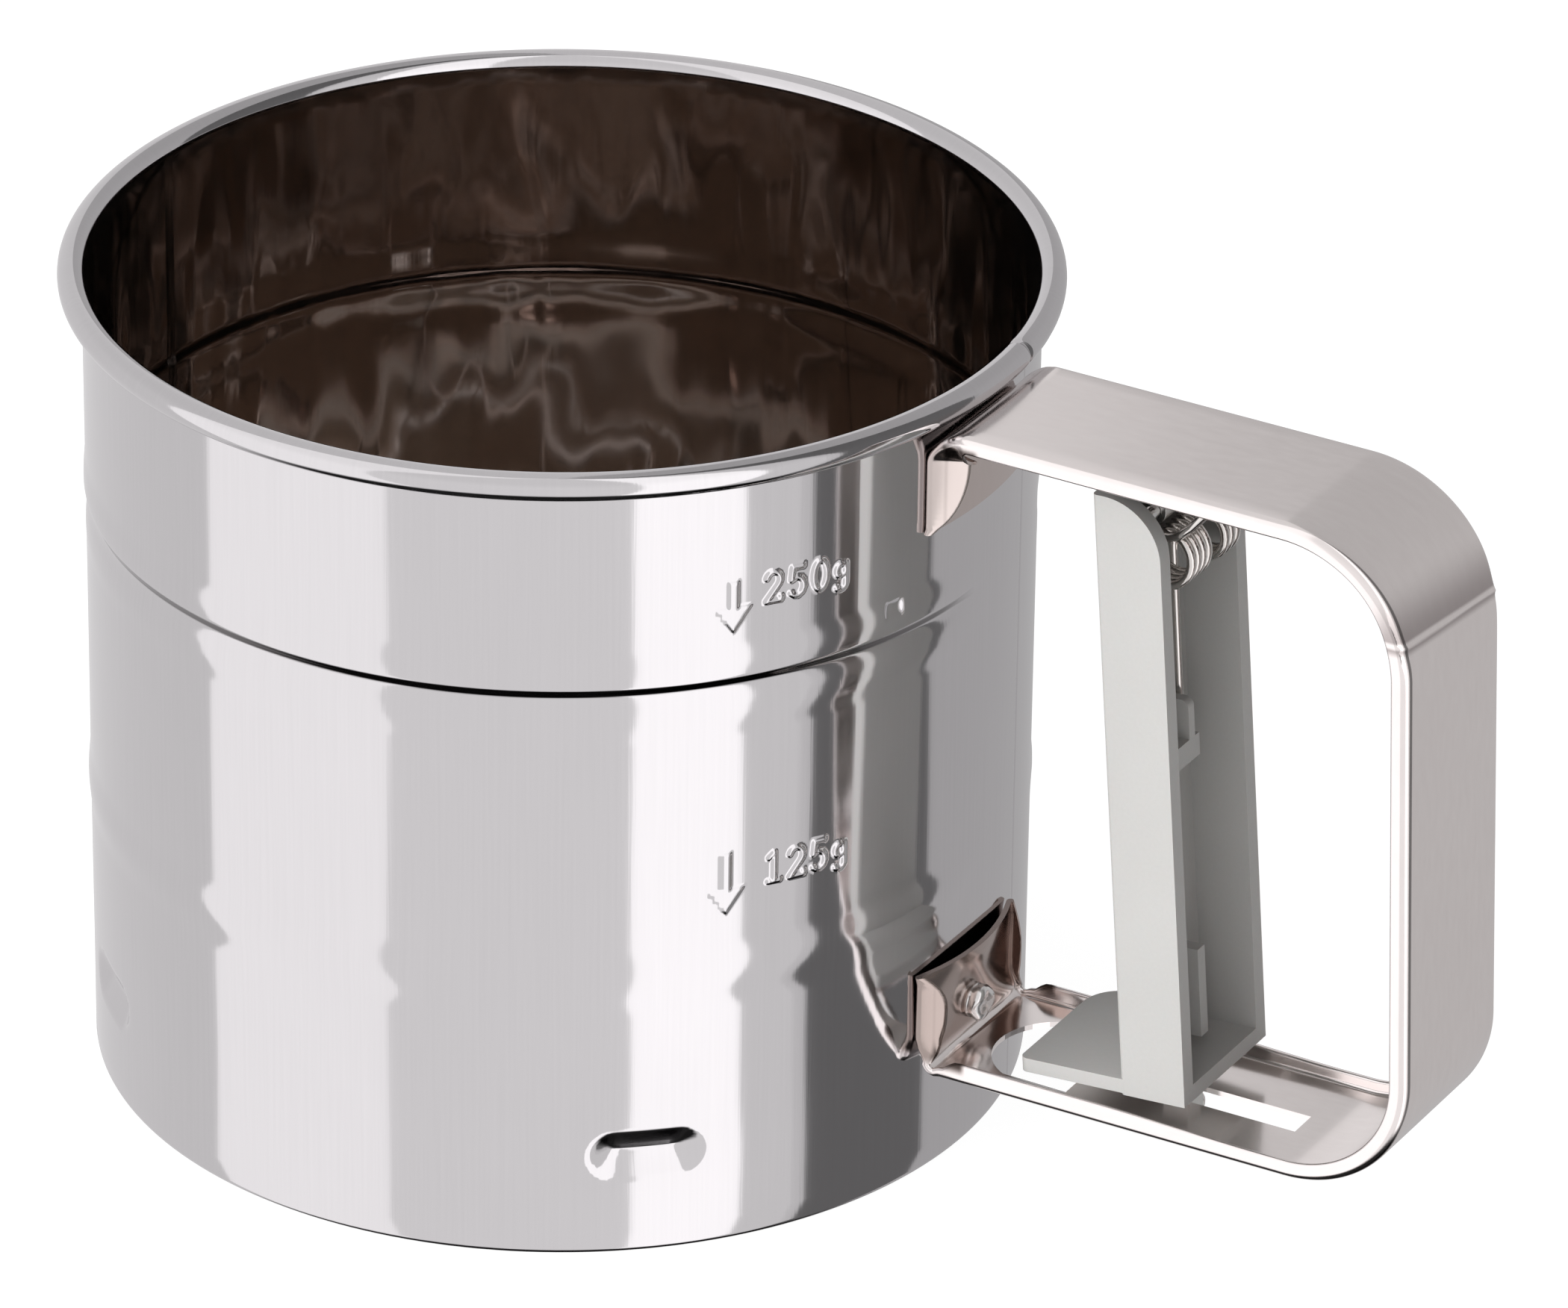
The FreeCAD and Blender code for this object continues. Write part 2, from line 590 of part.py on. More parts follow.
# ---------------------------------------------------------------- trigger
def trigger_box(u0, u1, y0, y1, w0, w1):
    """Box in the trigger's own directions: u outwards, w down, both from the hinge axis."""
    return Part.makeBox(u1 - u0, y1 - y0, w1 - w0, Vector(HINGE_X + u0, y0, HINGE_Z - w1))


def far_corner(tongue):
    """Upright edge of the tongue's tip on the +Y side."""
    tip = HINGE_X + TRIGGER_FRONT - TONGUE_LEN
    return next(edge for edge in tongue.Edges if edge.BoundBox.ZLength > 1 and edge.BoundBox.XMax < tip + 0.01
                and edge.BoundBox.YMin > 0)


def trigger():
    """Moulded channel with a rounded top, a tongue, a spring hook, a rib and the drive tab."""
    half = TRIGGER_W / 2
    body = trigger_box(TRIGGER_FRONT, TRIGGER_BACK, -half, half, -TRIGGER_TOP, TRIGGER_LEN)
    top_edge = [edge for edge in body.Edges if edge.BoundBox.ZMin > HINGE_Z + TRIGGER_TOP - 0.01
                and edge.BoundBox.XMin > HINGE_X + TRIGGER_BACK - 0.01]
    body = body.makeFillet(TRIGGER_ROUND, top_edge)
    corner_edges = []
    for edge in body.Edges:
        bound = edge.BoundBox
        on_front = bound.XMax < HINGE_X + TRIGGER_FRONT + 0.01
        if on_front and bound.ZLength > 20:
            corner_edges.append(edge)
    body = body.makeFillet(0.6, corner_edges)
    room = trigger_box(TRIGGER_FRONT + TRIGGER_WEB, TRIGGER_BACK + 5, -half + TRIGGER_WALL,
                       half - TRIGGER_WALL, -TRIGGER_TOP - 5, TONGUE_TOP)
    body = body.cut(room)
    tongue = trigger_box(TRIGGER_FRONT - TONGUE_LEN, TRIGGER_FRONT + 0.5, -half, half,
                         TONGUE_TOP, TONGUE_TOP + TONGUE_T)
    corners = [edge for edge in tongue.Edges if edge.BoundBox.ZLength > 1
               and edge.BoundBox.XMax < HINGE_X + TRIGGER_FRONT - 1]
    corners.sort(key=lambda edge: edge.BoundBox.YMin)
    tongue = tongue.makeFillet(0.9, corners[:1])
    tongue = tongue.makeFillet(4.0, [far_corner(tongue)])
    web_face = TRIGGER_FRONT + TRIGGER_WEB
    post = trigger_box(web_face - 0.2, 0, LOOP_Y - HOOK_HALF, LOOP_Y + HOOK_HALF, HOOK_W, HOOK_W + HOOK_H)
    post = post.makeFillet(0.9, [edge for edge in post.Edges if edge.BoundBox.YLength > 1
                                 and edge.BoundBox.XMin > HINGE_X - 0.1])
    bar = trigger_box(-1.45, 0, LOOP_Y - 3.5, LOOP_Y + 1.45, HOOK_W + HOOK_H - 2.5, HOOK_W + HOOK_H)
    rib = trigger_box(web_face - 0.2, -0.1, 0.2, 1.7, 52.3, 62.4)
    tab_w = HINGE_Z - ROD_Z
    tab = trigger_box(-3.9, -0.9, -1.4, 1.4, TRIGGER_LEN - 0.5, tab_w + 3.3)
    shape = body.fuse([tongue, post, bar, rib, tab])
    for side in (-1, 1):
        y0 = side * (half - 0.75) if side < 0 else half - 3.0
        shape = shape.cut(bar_y(HINGE_X, HINGE_Z, PIN_R + RUNNING, y0, y0 + 2.25))
    shape = lean(one_solid(shape.removeSplitter()))
    return one_solid(shape.cut(rod_slot()))


def rod_slot():
    """Upright slot in the tab: as the trigger swings its tab rises past the level rod."""
    eye_r = ROD_R + 0.2
    rise = 1.75
    slot = Part.makeBox(2 * eye_r, 6, rise, Vector(ROD_TRIGGER_X - eye_r, -3, ROD_Z - rise))
    for z in (ROD_Z, ROD_Z - rise):
        slot = slot.fuse(bar_y(ROD_TRIGGER_X, z, eye_r, -3, 3))
    return slot


# ---------------------------------------------------------------- return spring
def coil(turns, y_start, side):
    """Helical tube that starts at the coil's front and winds away from the loop, towards +Y or -Y."""
    helix = Part.makeHelix(COIL_PITCH, COIL_PITCH * turns, COIL_R)
    profile = Part.Wire(Part.makeCircle(WIRE_R, Vector(COIL_R, 0, 0), Vector(0, 1, 0)))
    tube = Part.Wire(helix.Edges).makePipeShell([profile], True, True)
    tube.rotate(Vector(0, 0, 0), Vector(1, 0, 0), -90)
    tube.rotate(Vector(0, 0, 0), Vector(0, 1, 0), 180)
    if side < 0:
        tube = tube.mirror(Vector(0, 0, 0), Vector(0, 1, 0))
    tube.translate(Vector(COIL_X, y_start, COIL_Z))
    return tube


def wire_run(points):
    """Straight wires through the points, with a ball at each inner corner."""
    run = [rod_between(a, b, LEG_R) for a, b in zip(points, points[1:])]
    run += [Part.makeSphere(LEG_R, corner) for corner in points[1:-1]]
    return run


def hook_place():
    """Where the loop's wires pass the trigger's hook, as (x, z)."""
    turn = math.radians(TRIGGER_LEAN)
    u = TRIGGER_FRONT + TRIGGER_WEB + 1.6
    w = HOOK_W + HOOK_H + 0.6
    return HINGE_X + u * math.cos(turn) + w * math.sin(turn), HINGE_Z + u * math.sin(turn) - w * math.cos(turn)


def return_spring():
    """Double torsion spring: two coils, a centre loop down to the hook and two legs to the strap."""
    plate_low = GRIP_TOP_Z - STRAP_T - (BARREL_R - PIN_R - RUNNING)
    hook_x, hook_z = hook_place()
    front = Vector(COIL_X - COIL_R, 0, COIL_Z + 0.1)
    foot = Vector(hook_x, 0, hook_z)
    crown = Vector(COIL_X - 0.1, 0, COIL_Z + COIL_R)
    bend = Vector(COIL_X + 1.0, 0, COIL_Z + COIL_R)
    rest = Vector(COIL_X + 7.2, 0, plate_low - LEG_R - 0.05)
    end = Vector(rest.x + 3.0, 0, rest.z)
    shapes = []
    for side, turns in ((-1, TURNS_NEAR), (1, TURNS_FAR)):
        lane = LOOP_Y + side * LOOP_HALF
        outer = lane + side * COIL_PITCH * turns
        shapes.append(coil(turns, lane, side))
        shapes += wire_run([point.add(Vector(0, outer, 0)) for point in (crown, bend, rest, end)])
    lanes = [LOOP_Y - LOOP_HALF, LOOP_Y + LOOP_HALF]
    shapes += wire_run([front.add(Vector(0, lanes[0], 0)), foot.add(Vector(0, lanes[0], 0)),
                        foot.add(Vector(0, lanes[1], 0)), front.add(Vector(0, lanes[1], 0))])
    return one_solid(shapes[0].fuse(shapes[1:]))


# ---------------------------------------------------------------- lower rivet
def lower_rivet():
    """Rivet through the cup, its washer and the lower flange, with its tail outside."""
    inside = CUP_R - CUP_T - 0.7
    shank = bar_x(RIVET_R, inside, CUP_R + STRAP_T + 1.9, 0, RIVET_Z)
    head = bar_x(3.0, inside - 1.0, inside, 0, RIVET_Z)
    head = head.makeFillet(0.7, [edge for edge in head.Edges if edge.BoundBox.XMax < inside - 0.9])
    return one_solid(shank.fuse(head))


def rivet_washer():
    """Small washer under the rivet's head, inside the cup."""
    inside = CUP_R - CUP_T - 0.7
    washer = bar_x(3.6, inside, CUP_R, 0, RIVET_Z)
    washer = washer.common(Part.makeCylinder(CUP_R - CUP_T - 0.02, 40, Vector(0, 0, 0)))
    return one_solid(washer.cut(bar_x(RIVET_R + 0.02, CUP_R - 6, CUP_R + 4, 0, RIVET_Z)))


# ---------------------------------------------------------------- nodes
def build():
    """Make every node and write its file."""
    mesh_top = MESH_Z + MESH_T / 2
    mesh_low = MESH_Z - MESH_T / 2
    nodes = {
        "cup_body": cup_body,
        "sieve_lower_ring": sieve_lower_ring,
        "sieve_mesh": sieve_mesh,
        "sieve_upper_ring": sieve_upper_ring,
        "pivot_stud": pivot_stud,
        "lower_washer": lambda: stud_washer(mesh_low - WASHER_T, 7.0, WASHER_T, STUD_R + 0.02),
        "upper_washer": lambda: stud_washer(mesh_top, 7.0, UPPER_WASHER_T, STUD_R + 0.02),
        "top_washer": lambda: stud_washer(CRANK_Z + CRANK_T + 0.1, 3.4, 0.4, STUD_R + 0.05),
        "retaining_clip": retaining_clip,
        "agitator_hub": agitator_hub,
        "agitator_spider": agitator_spider,
        "crank_arm": crank_arm,
        "crank_rivets": crank_rivets,
        "drive_rod": drive_rod,
        "rod_clip_trigger": lambda: push_nut(Vector(ROD_TRIGGER_X, 1.7, ROD_Z), Vector(0, 1, 0)),
        "handle_strap": handle_strap,
        "hinge_bracket": hinge_bracket,
        "hinge_pin": hinge_pin,
        "trigger": trigger,
        "return_spring": return_spring,
        "lower_rivet": lower_rivet,
        "rivet_washer": rivet_washer,
    }
    for name, make in nodes.items():
        save(name, make())


build()
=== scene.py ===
"""Looks of the one-hand flour sifter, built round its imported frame.

Sizes are in millimetres and MM turns them to metres. Places inside shaders and of lights are in metres.
"""
import math
import random

import bmesh
import bpy
import numpy as np
from mathutils import Matrix, Vector


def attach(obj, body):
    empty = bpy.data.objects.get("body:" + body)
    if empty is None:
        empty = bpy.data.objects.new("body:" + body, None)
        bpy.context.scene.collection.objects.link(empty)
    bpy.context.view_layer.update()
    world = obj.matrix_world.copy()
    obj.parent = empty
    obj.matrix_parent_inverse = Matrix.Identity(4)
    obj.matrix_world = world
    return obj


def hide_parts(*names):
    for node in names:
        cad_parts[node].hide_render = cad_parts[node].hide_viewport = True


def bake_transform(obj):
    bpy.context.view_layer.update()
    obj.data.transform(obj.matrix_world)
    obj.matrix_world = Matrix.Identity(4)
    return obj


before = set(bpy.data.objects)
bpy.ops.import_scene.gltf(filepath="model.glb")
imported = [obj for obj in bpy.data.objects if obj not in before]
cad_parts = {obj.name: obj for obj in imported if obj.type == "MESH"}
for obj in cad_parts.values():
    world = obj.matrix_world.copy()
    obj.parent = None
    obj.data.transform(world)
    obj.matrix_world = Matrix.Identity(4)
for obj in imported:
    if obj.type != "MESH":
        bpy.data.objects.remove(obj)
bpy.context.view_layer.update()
MM = 0.001
random.seed(7)

# ---------------------------------------------------------------- sizes, in millimetres
CUP_R = 50.0               # plain wall
CUP_T = 0.5
CUP_H = 91.3
CURL_R = 1.5               # rim curl
CURL_MID = (CUP_R - CUP_T + CURL_R, CUP_H - CURL_R)
CURL_END = -125.0          # where the curl's edge ends, in degrees round its middle
HEM_R = 47.1               # hemmed foot
HEM_H = 1.6
HEM_ROUND = 0.7

SEAM = 13.6                # welded side seam, degrees round the cup
RIM_JOINT = 7.7            # butt joint of the rim curl
BEAD_GAP = 12.8            # both beads stop this many degrees from the seam
BEAD_FADE = 6.0
BEAD_CREASE = 65.7         # height of the sharp crease under the upper bead
LOW_BEAD = (31.8, 3.8, 0.24)  # height, half width and depth of the lower bead
DIMPLE_ANGLES = (-48.3, 48.3, 131.7, -131.7)
DIMPLE_Z = 11.6
DIMPLE_LEN = 12.4
DIMPLE_HALF = 2.9
DIMPLE_DEEP = 1.25
MARK_DEEP = 0.24           # how far the filling marks stand proud of the wall
MARK_STROKE = 0.20         # half width of their strokes
MARKS = (("250g", -34.6, 73.9), ("125g", -34.2, 41.5))  # text, angle of its left end, height
FIGURE_W = 3.6             # width and height that a figure's unit box is drawn at
FIGURE_H = 3.7
FIGURE_STEP = 2.7          # from one figure to the next
ARROWS = ((-38.4, 71.4, 77.0), (-39.0, 39.0, 45.9))     # angle, low end, high end
ARROW_HEAD = (1.9, 2.7)    # half width and height
ARROW_SHAFT = 0.5          # half width
ARROW_NECK = 2.4           # where the shaft starts over the tip
RECESS = (-16.0, 68.9)     # small pressed rectangle right of the upper mark: angle, height
RECESS_HALF = (1.1, 0.75)
RECESS_DEEP = 0.30

STRAP_W = 20.3
STRAP_T = 0.6
STRAP_FOLD = 1.05          # outer radius of the folds along the strap
LIP_UP = 1.8               # depth of the rolled edges on the upper arm, the grip and the lower arm
LIP_GRIP = 2.1
LIP_LOW = 2.5
LIP_JOIN = 0.75            # where the lower arm meets the cup
EAR_UP = 4.0               # the edges stand out as round ears beside the two flanges
EAR_LOW = 3.0
ARM_TOP = 88.1
GRIP_HIGH = (105.1, 72.0)  # two points on the grip's outer face, as (x, z)
GRIP_LOW = (106.5, 36.0)
ARM_LOW_Z = 12.85
ARM_LOW_RISE = 0.0145
BENDS = (3.8, 15.0, 14.0, 1.6)
FLANGE_UP_END = 76.0
FLANGE_LOW_END = 24.2
FLANGE_BOW = 1.0           # the lower flange's end stands off the wall this far
CREASE_Z = 76.9            # pressing mark across the grip, a little aslant
CREASE_SLANT = 0.08
CREASE_HIGH = 0.17
WINDOW_R = 7.2             # window of the lower arm: a half round and a straight end
WINDOW_X = (61.3, 65.6)
SLOT_X = (73.4, 90.1)
SLOT_HALF = 1.8
RIVET = (50.0, 0.0, 17.2)

MESH_Z = 6.5
MESH_R = 48.6
MESH_PITCH = 1.25
MESH_WIRE = 0.16

COIL_MID = (74.3, 77.6)
COIL_R = 2.9
COIL_WIRE = 0.5
COIL_PITCH = 1.14
TURNS_NEAR = 4.25
TURNS_FAR = 3.25
LOOP_Y = 0.9
LOOP_HALF = 1.3
LOOP_FOOT = (-2.1, 31.2)   # from the hinge, across and down the trigger
REST_ARM = ((0.8, 2.95), (1.8, 3.4), (3.2, 4.7), (5.0, 6.9),
            (6.2, 8.3), (7.2, 8.7), (8.6, 8.75), (10.0, 8.75))  # the wire's end, from the coil's middle
HINGE = (73.0, 82.9)
TRIGGER_LEAN = math.radians(4.5)


# ---------------------------------------------------------------- mesh helpers
def smoothstep(x, low, high):
    """Smooth rise from 0 at low to 1 at high; works on arrays."""
    t = np.clip((x - low) / (high - low), 0, 1)
    return t * t * (3 - 2 * t)


def new_object(name, verts, faces, material, body="root"):
    """Mesh object from points in millimetres, with its material and body."""
    mesh = bpy.data.meshes.new(name)
    mesh.from_pydata([tuple(float(c) * MM for c in v) for v in verts], [], [tuple(f) for f in faces])
    mesh.validate()
    obj = bpy.data.objects.new(name, mesh)
    bpy.context.scene.collection.objects.link(obj)
    obj.data.materials.append(material)
    for polygon in mesh.polygons:
        polygon.use_smooth = True
    if body:
        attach(obj, body)
    return obj


def grid_faces(rows, columns, wrap_rows, wrap_columns):
    """Quads of a grid whose points are numbered row by row."""
    faces = []
    for i in range(rows if wrap_rows else rows - 1):
        for j in range(columns if wrap_columns else columns - 1):
            a = i * columns + j
            b = i * columns + (j + 1) % columns
            c = ((i + 1) % rows) * columns + (j + 1) % columns
            d = ((i + 1) % rows) * columns + j
            faces.append((a, b, c, d))
    return faces


def add_uv(obj, u, v):
    """UV map from one u and one v for each vertex."""
    layer = obj.data.uv_layers.new(name="surface")
    for loop in obj.data.loops:
        layer.data[loop.index].uv = (u[loop.vertex_index], v[loop.vertex_index])


def tube_points(path, radius, sides):
    """Rings of points round a path, turned with it and not twisted."""
    path = np.asarray(path, float)
    tangents = np.gradient(path, axis=0)
    tangents /= np.linalg.norm(tangents, axis=1)[:, None]
    side = np.cross(tangents[0], (0.3, 0.9, 0.2))
    side /= np.linalg.norm(side)
    radii = np.broadcast_to(np.asarray(radius, float), (len(path),))
    rings = []
    for point, tangent, r in zip(path, tangents, radii):
        side = side - tangent * (side @ tangent)
        side /= np.linalg.norm(side)
        up = np.cross(tangent, side)
        for k in range(sides):
            turn = 2 * math.pi * k / sides
            rings.append(point + r * (side * math.cos(turn) + up * math.sin(turn)))
    return rings


def tube(path, radius, sides, start=0):
    """Points and faces of a tube with closed ends, numbered from start."""
    rings = tube_points(path, radius, sides)
    count = len(rings) // sides
    faces = [tuple(start + i for i in face) for face in grid_faces(count, sides, False, True)]
    faces.append(tuple(start + i for i in range(sides - 1, -1, -1)))
    faces.append(tuple(start + (count - 1) * sides + i for i in range(sides)))
    return rings, faces


def shade_by_angle(obj, degrees=32):
    """Smooth shading with sharp edges past an angle."""
    bm = bmesh.new()
    bm.from_mesh(obj.data)
    limit = math.radians(degrees)
    for edge in bm.edges:
        edge.smooth = len(edge.link_faces) == 2 and edge.calc_face_angle(0.0) < limit
    bm.to_mesh(obj.data)
    bm.free()


# ---------------------------------------------------------------- node helpers
class Nodes:
    """Short way to make and join shader nodes."""

    def __init__(self, tree):
        self.tree = tree

    def add(self, kind, **values):
        """New node, with properties and inputs set by name."""
        node = self.tree.nodes.new(kind)
        for key, value in values.items():
            if hasattr(node, key):
                setattr(node, key, value)
            else:
                node.inputs[key.replace("_", " ")].default_value = value
        return node

    def link(self, out, into):
        """Join an output socket to an input socket."""
        self.tree.links.new(out, into)

    def math(self, operation, a, b=0.0):
        """Math node on sockets or numbers; returns its output."""
        node = self.tree.nodes.new("ShaderNodeMath")
        node.operation = operation
        for index, value in enumerate((a, b)):
            if isinstance(value, (int, float)):
                node.inputs[index].default_value = value
            else:
                self.tree.links.new(value, node.inputs[index])
        return node.outputs[0]

    def noise(self, vector, scale, detail=2.0, roughness=0.5):
        """Noise value at a vector socket."""
        node = self.tree.nodes.new("ShaderNodeTexNoise")
        node.inputs["Scale"].default_value = scale
        node.inputs["Detail"].default_value = detail
        node.inputs["Roughness"].default_value = roughness
        self.tree.links.new(vector, node.inputs["Vector"])
        return node.outputs["Fac"]

    def stretch(self, vector, x, y, z):
        """Vector socket scaled along each axis."""
        node = self.tree.nodes.new("ShaderNodeMapping")
        node.inputs["Scale"].default_value = (x, y, z)
        self.tree.links.new(vector, node.inputs["Vector"])
        return node.outputs["Vector"]

    def span(self, value, low, high):
        """Map 0..1 to low..high."""
        node = self.tree.nodes.new("ShaderNodeMapRange")
        node.inputs["To Min"].default_value = low
        node.inputs["To Max"].default_value = high
        self.tree.links.new(value, node.inputs["Value"])
        return node.outputs["Result"]

    def rise(self, value, low, high, start=0.0, end=1.0):
        """Smooth change of a socket from start at low to end at high."""
        node = self.tree.nodes.new("ShaderNodeMapRange")
        node.interpolation_type = "SMOOTHSTEP"
        node.inputs["From Min"].default_value = low
        node.inputs["From Max"].default_value = high
        node.inputs["To Min"].default_value = start
        node.inputs["To Max"].default_value = end
        self.tree.links.new(value, node.inputs["Value"])
        return node.outputs["Result"]

    def ramp(self, value, stops):
        """Colour ramp through (place, colour) stops."""
        node = self.tree.nodes.new("ShaderNodeValToRGB")
        while len(node.color_ramp.elements) < len(stops):
            node.color_ramp.elements.new(0.5)
        for element, (place, colour) in zip(node.color_ramp.elements, stops):
            element.position = place
            element.color = (*colour, 1.0)
        self.tree.links.new(value, node.inputs["Fac"])
        return node.outputs["Color"]

    def bump(self, height, strength, distance, normal=None):
        """Bump node; distance is in metres."""
        node = self.tree.nodes.new("ShaderNodeBump")
        node.inputs["Strength"].default_value = strength
        node.inputs["Distance"].default_value = distance
        self.tree.links.new(height, node.inputs["Height"])
        if normal is not None:
            self.tree.links.new(normal, node.inputs["Normal"])
        return node.outputs["Normal"]


def new_material(name, **values):
    """Material, its nodes and its Principled shader, whose inputs are set by name."""
    material = bpy.data.materials.new(name)
    material.use_nodes = True
    shader = material.node_tree.nodes["Principled BSDF"]
    for key, value in values.items():
        shader.inputs[key.replace("_", " ")].default_value = value
    return material, Nodes(material.node_tree), shader


def grained_metal(name, colour, rough, grain, axis_scale, waviness=0.0, coords="Object", speck=0.03):
    """Metal with fine drawn grain, roughness that varies along it and faint broad stains."""
    material, nodes, shader = new_material(name, Metallic=1.0)
    place = nodes.add("ShaderNodeTexCoord").outputs[coords]
    lines = nodes.noise(nodes.stretch(place, *axis_scale), 1.0, 3.0, 0.6)
    broad = nodes.noise(place, 60.0, 3.0, 0.55)
    tone = nodes.math("ADD", nodes.math("MULTIPLY", lines, 0.6), nodes.math("MULTIPLY", broad, 0.4))
    dark = tuple(c * (1 - speck) for c in colour)
    light = tuple(min(c * (1 + speck), 1.0) for c in colour)
    nodes.link(nodes.ramp(tone, [(0.3, dark), (0.7, light)]), shader.inputs["Base Color"])
    nodes.link(nodes.span(tone, rough * 0.75, rough * 1.3), shader.inputs["Roughness"])
    normal = nodes.bump(lines, grain, 0.00002)
    if waviness:
        wave = nodes.noise(place, 28.0, 1.0, 0.4)
        normal = nodes.bump(wave, waviness, 0.0004, normal)
    nodes.link(normal, shader.inputs["Normal"])
    return material


def source(socket):
    """Output that feeds an input socket."""
    return socket.links[0].from_socket


def tint(nodes, shader, share, colour):
    """Multiply the base colour by a colour where share is 1."""
    mix = nodes.add("ShaderNodeMix", data_type="RGBA", blend_type="MULTIPLY")
    nodes.link(share, mix.inputs[0])
    nodes.link(source(shader.inputs["Base Color"]), mix.inputs[6])
    mix.inputs[7].default_value = (*colour, 1.0)
    nodes.link(mix.outputs[2], shader.inputs["Base Color"])


def cup_steel():
    """Bright rolled sheet with an upright grain, rippled inside. The inner face gets a warm brown tint as a
    painted reflection of the cup's interior, and a painted shade line darkens the bead's crease.
    """
    material = grained_metal("cup_steel", (0.69, 0.675, 0.685), 0.075, 0.10, (2600.0, 40.0, 1.0),
                             coords="UV", speck=0.02)
    nodes = Nodes(material.node_tree)
    shader = material.node_tree.nodes["Principled BSDF"]
    coordinates = nodes.add("ShaderNodeTexCoord")
    place = nodes.add("ShaderNodeSeparateXYZ")
    nodes.link(coordinates.outputs["Object"], place.inputs[0])
    facing = nodes.add("ShaderNodeSeparateXYZ")
    nodes.link(coordinates.outputs["Normal"], facing.inputs[0])
    outwards = nodes.math("ADD", nodes.math("MULTIPLY", place.outputs["X"], facing.outputs["X"]),
                          nodes.math("MULTIPLY", place.outputs["Y"], facing.outputs["Y"]))
    # painted reflection: the inner face of the same sheet is tinted warm brown, standing in for the brown
    # interior it mirrors
    inner = nodes.math("MULTIPLY", nodes.rise(outwards, 0.0, -0.02),
                       nodes.rise(place.outputs["Z"], 0.0893, 0.0880))
    tint(nodes, shader, inner, (1.0, 0.90, 0.83))
    turn = nodes.math("ARCTAN2", place.outputs["Y"], place.outputs["X"])
    away = nodes.math("ABSOLUTE", nodes.math("SUBTRACT", turn, math.radians(SEAM)))
    share = nodes.rise(away, math.radians(BEAD_GAP + 0.5), math.radians(BEAD_GAP + BEAD_FADE + 4))
    # painted shade: a dark line along the crease under the upper bead, on the outer face only, fading out near
    # the seam
    off = nodes.math("ABSOLUTE", nodes.math("SUBTRACT", place.outputs["Z"], BEAD_CREASE * MM))
    crease = nodes.math("MULTIPLY", nodes.rise(off, 0.00062, 0.00030), share)
    crease = nodes.math("MULTIPLY", crease, nodes.math("SUBTRACT", 1.0, inner))
    tint(nodes, shader, crease, (0.20, 0.19, 0.19))
    ripple = nodes.noise(nodes.stretch(coordinates.outputs["UV"], 80.0, 24.0, 1.0), 1.0, 1.5, 0.45)
    ripple = nodes.math("MULTIPLY", nodes.math("SUBTRACT", ripple, 0.5), inner)
    ripple = nodes.math("MULTIPLY", ripple, nodes.rise(place.outputs["Z"], 0.0890, 0.0760))
    nodes.link(nodes.bump(ripple, 0.75, 0.0022, source(shader.inputs["Normal"])), shader.inputs["Normal"])
    return material


def strap_steel():
    """Satin stainless brushed along the strap, with painted shade: darker on the flanges, nearly black in
    their ears and darker in the hollows by the crease.
    """
    material = grained_metal("strap_steel", (0.98, 0.915, 0.895), 0.15, 0.05, (300.0, 900.0, 1.0),
                             waviness=0.25, coords="UV")
    nodes = Nodes(material.node_tree)
    place = nodes.add("ShaderNodeSeparateXYZ")
    nodes.link(nodes.add("ShaderNodeTexCoord").outputs["Object"], place.inputs[0])
    # painted shade: the flanges against the wall are darkened, the lower flange plate more so
    share = nodes.rise(place.outputs["X"], 0.0556, 0.0548)
    share = nodes.math("MULTIPLY", share, nodes.rise(place.outputs["Z"], 0.0872, 0.0864))
    share = nodes.math("MULTIPLY", share, nodes.rise(place.outputs["Z"], 0.0140, 0.0152))
    shader = material.node_tree.nodes["Principled BSDF"]
    tint(nodes, shader, share, (0.66, 0.62, 0.60))
    lower = nodes.math("MULTIPLY", share, nodes.rise(place.outputs["Z"], 0.040, 0.030))
    tint(nodes, shader, lower, (0.70, 0.66, 0.64))
    # painted shade: the round ears beside the flanges are made nearly black
    side = nodes.math("ABSOLUTE", place.outputs["Y"])
    ear = nodes.math("MULTIPLY", share, nodes.rise(side, 0.0088, 0.0092))
    ear = nodes.math("MULTIPLY", ear, nodes.rise(place.outputs["X"], 0.0509, 0.0515))
    tint(nodes, shader, ear, (0.17, 0.16, 0.155))
    # painted shade in the hollows over and under the crease across the grip
    over = nodes.math("SUBTRACT", place.outputs["Z"], (CREASE_Z + 0.1) * MM)
    over = nodes.math("ADD", over, nodes.math("MULTIPLY", place.outputs["Y"], CREASE_SLANT))
    hollow = nodes.math("MULTIPLY", nodes.rise(over, 0.0002, 0.0006), nodes.rise(over, 0.0060, 0.0004))
    under = nodes.math("MULTIPLY", nodes.rise(over, -0.0012, -0.0003), nodes.rise(over, 0.0, -0.0004))
    hollow = nodes.math("ADD", hollow, under)
    hollow = nodes.math("MULTIPLY", hollow, nodes.rise(place.outputs["X"], 0.0995, 0.1025))
    tint(nodes, shader, hollow, (0.52, 0.50, 0.50))
    return material


def plain_steel(name, colour, rough):
    """Turned or pressed steel for the small parts."""
    return grained_metal(name, colour, rough, 0.2, (1500.0, 1500.0, 200.0))


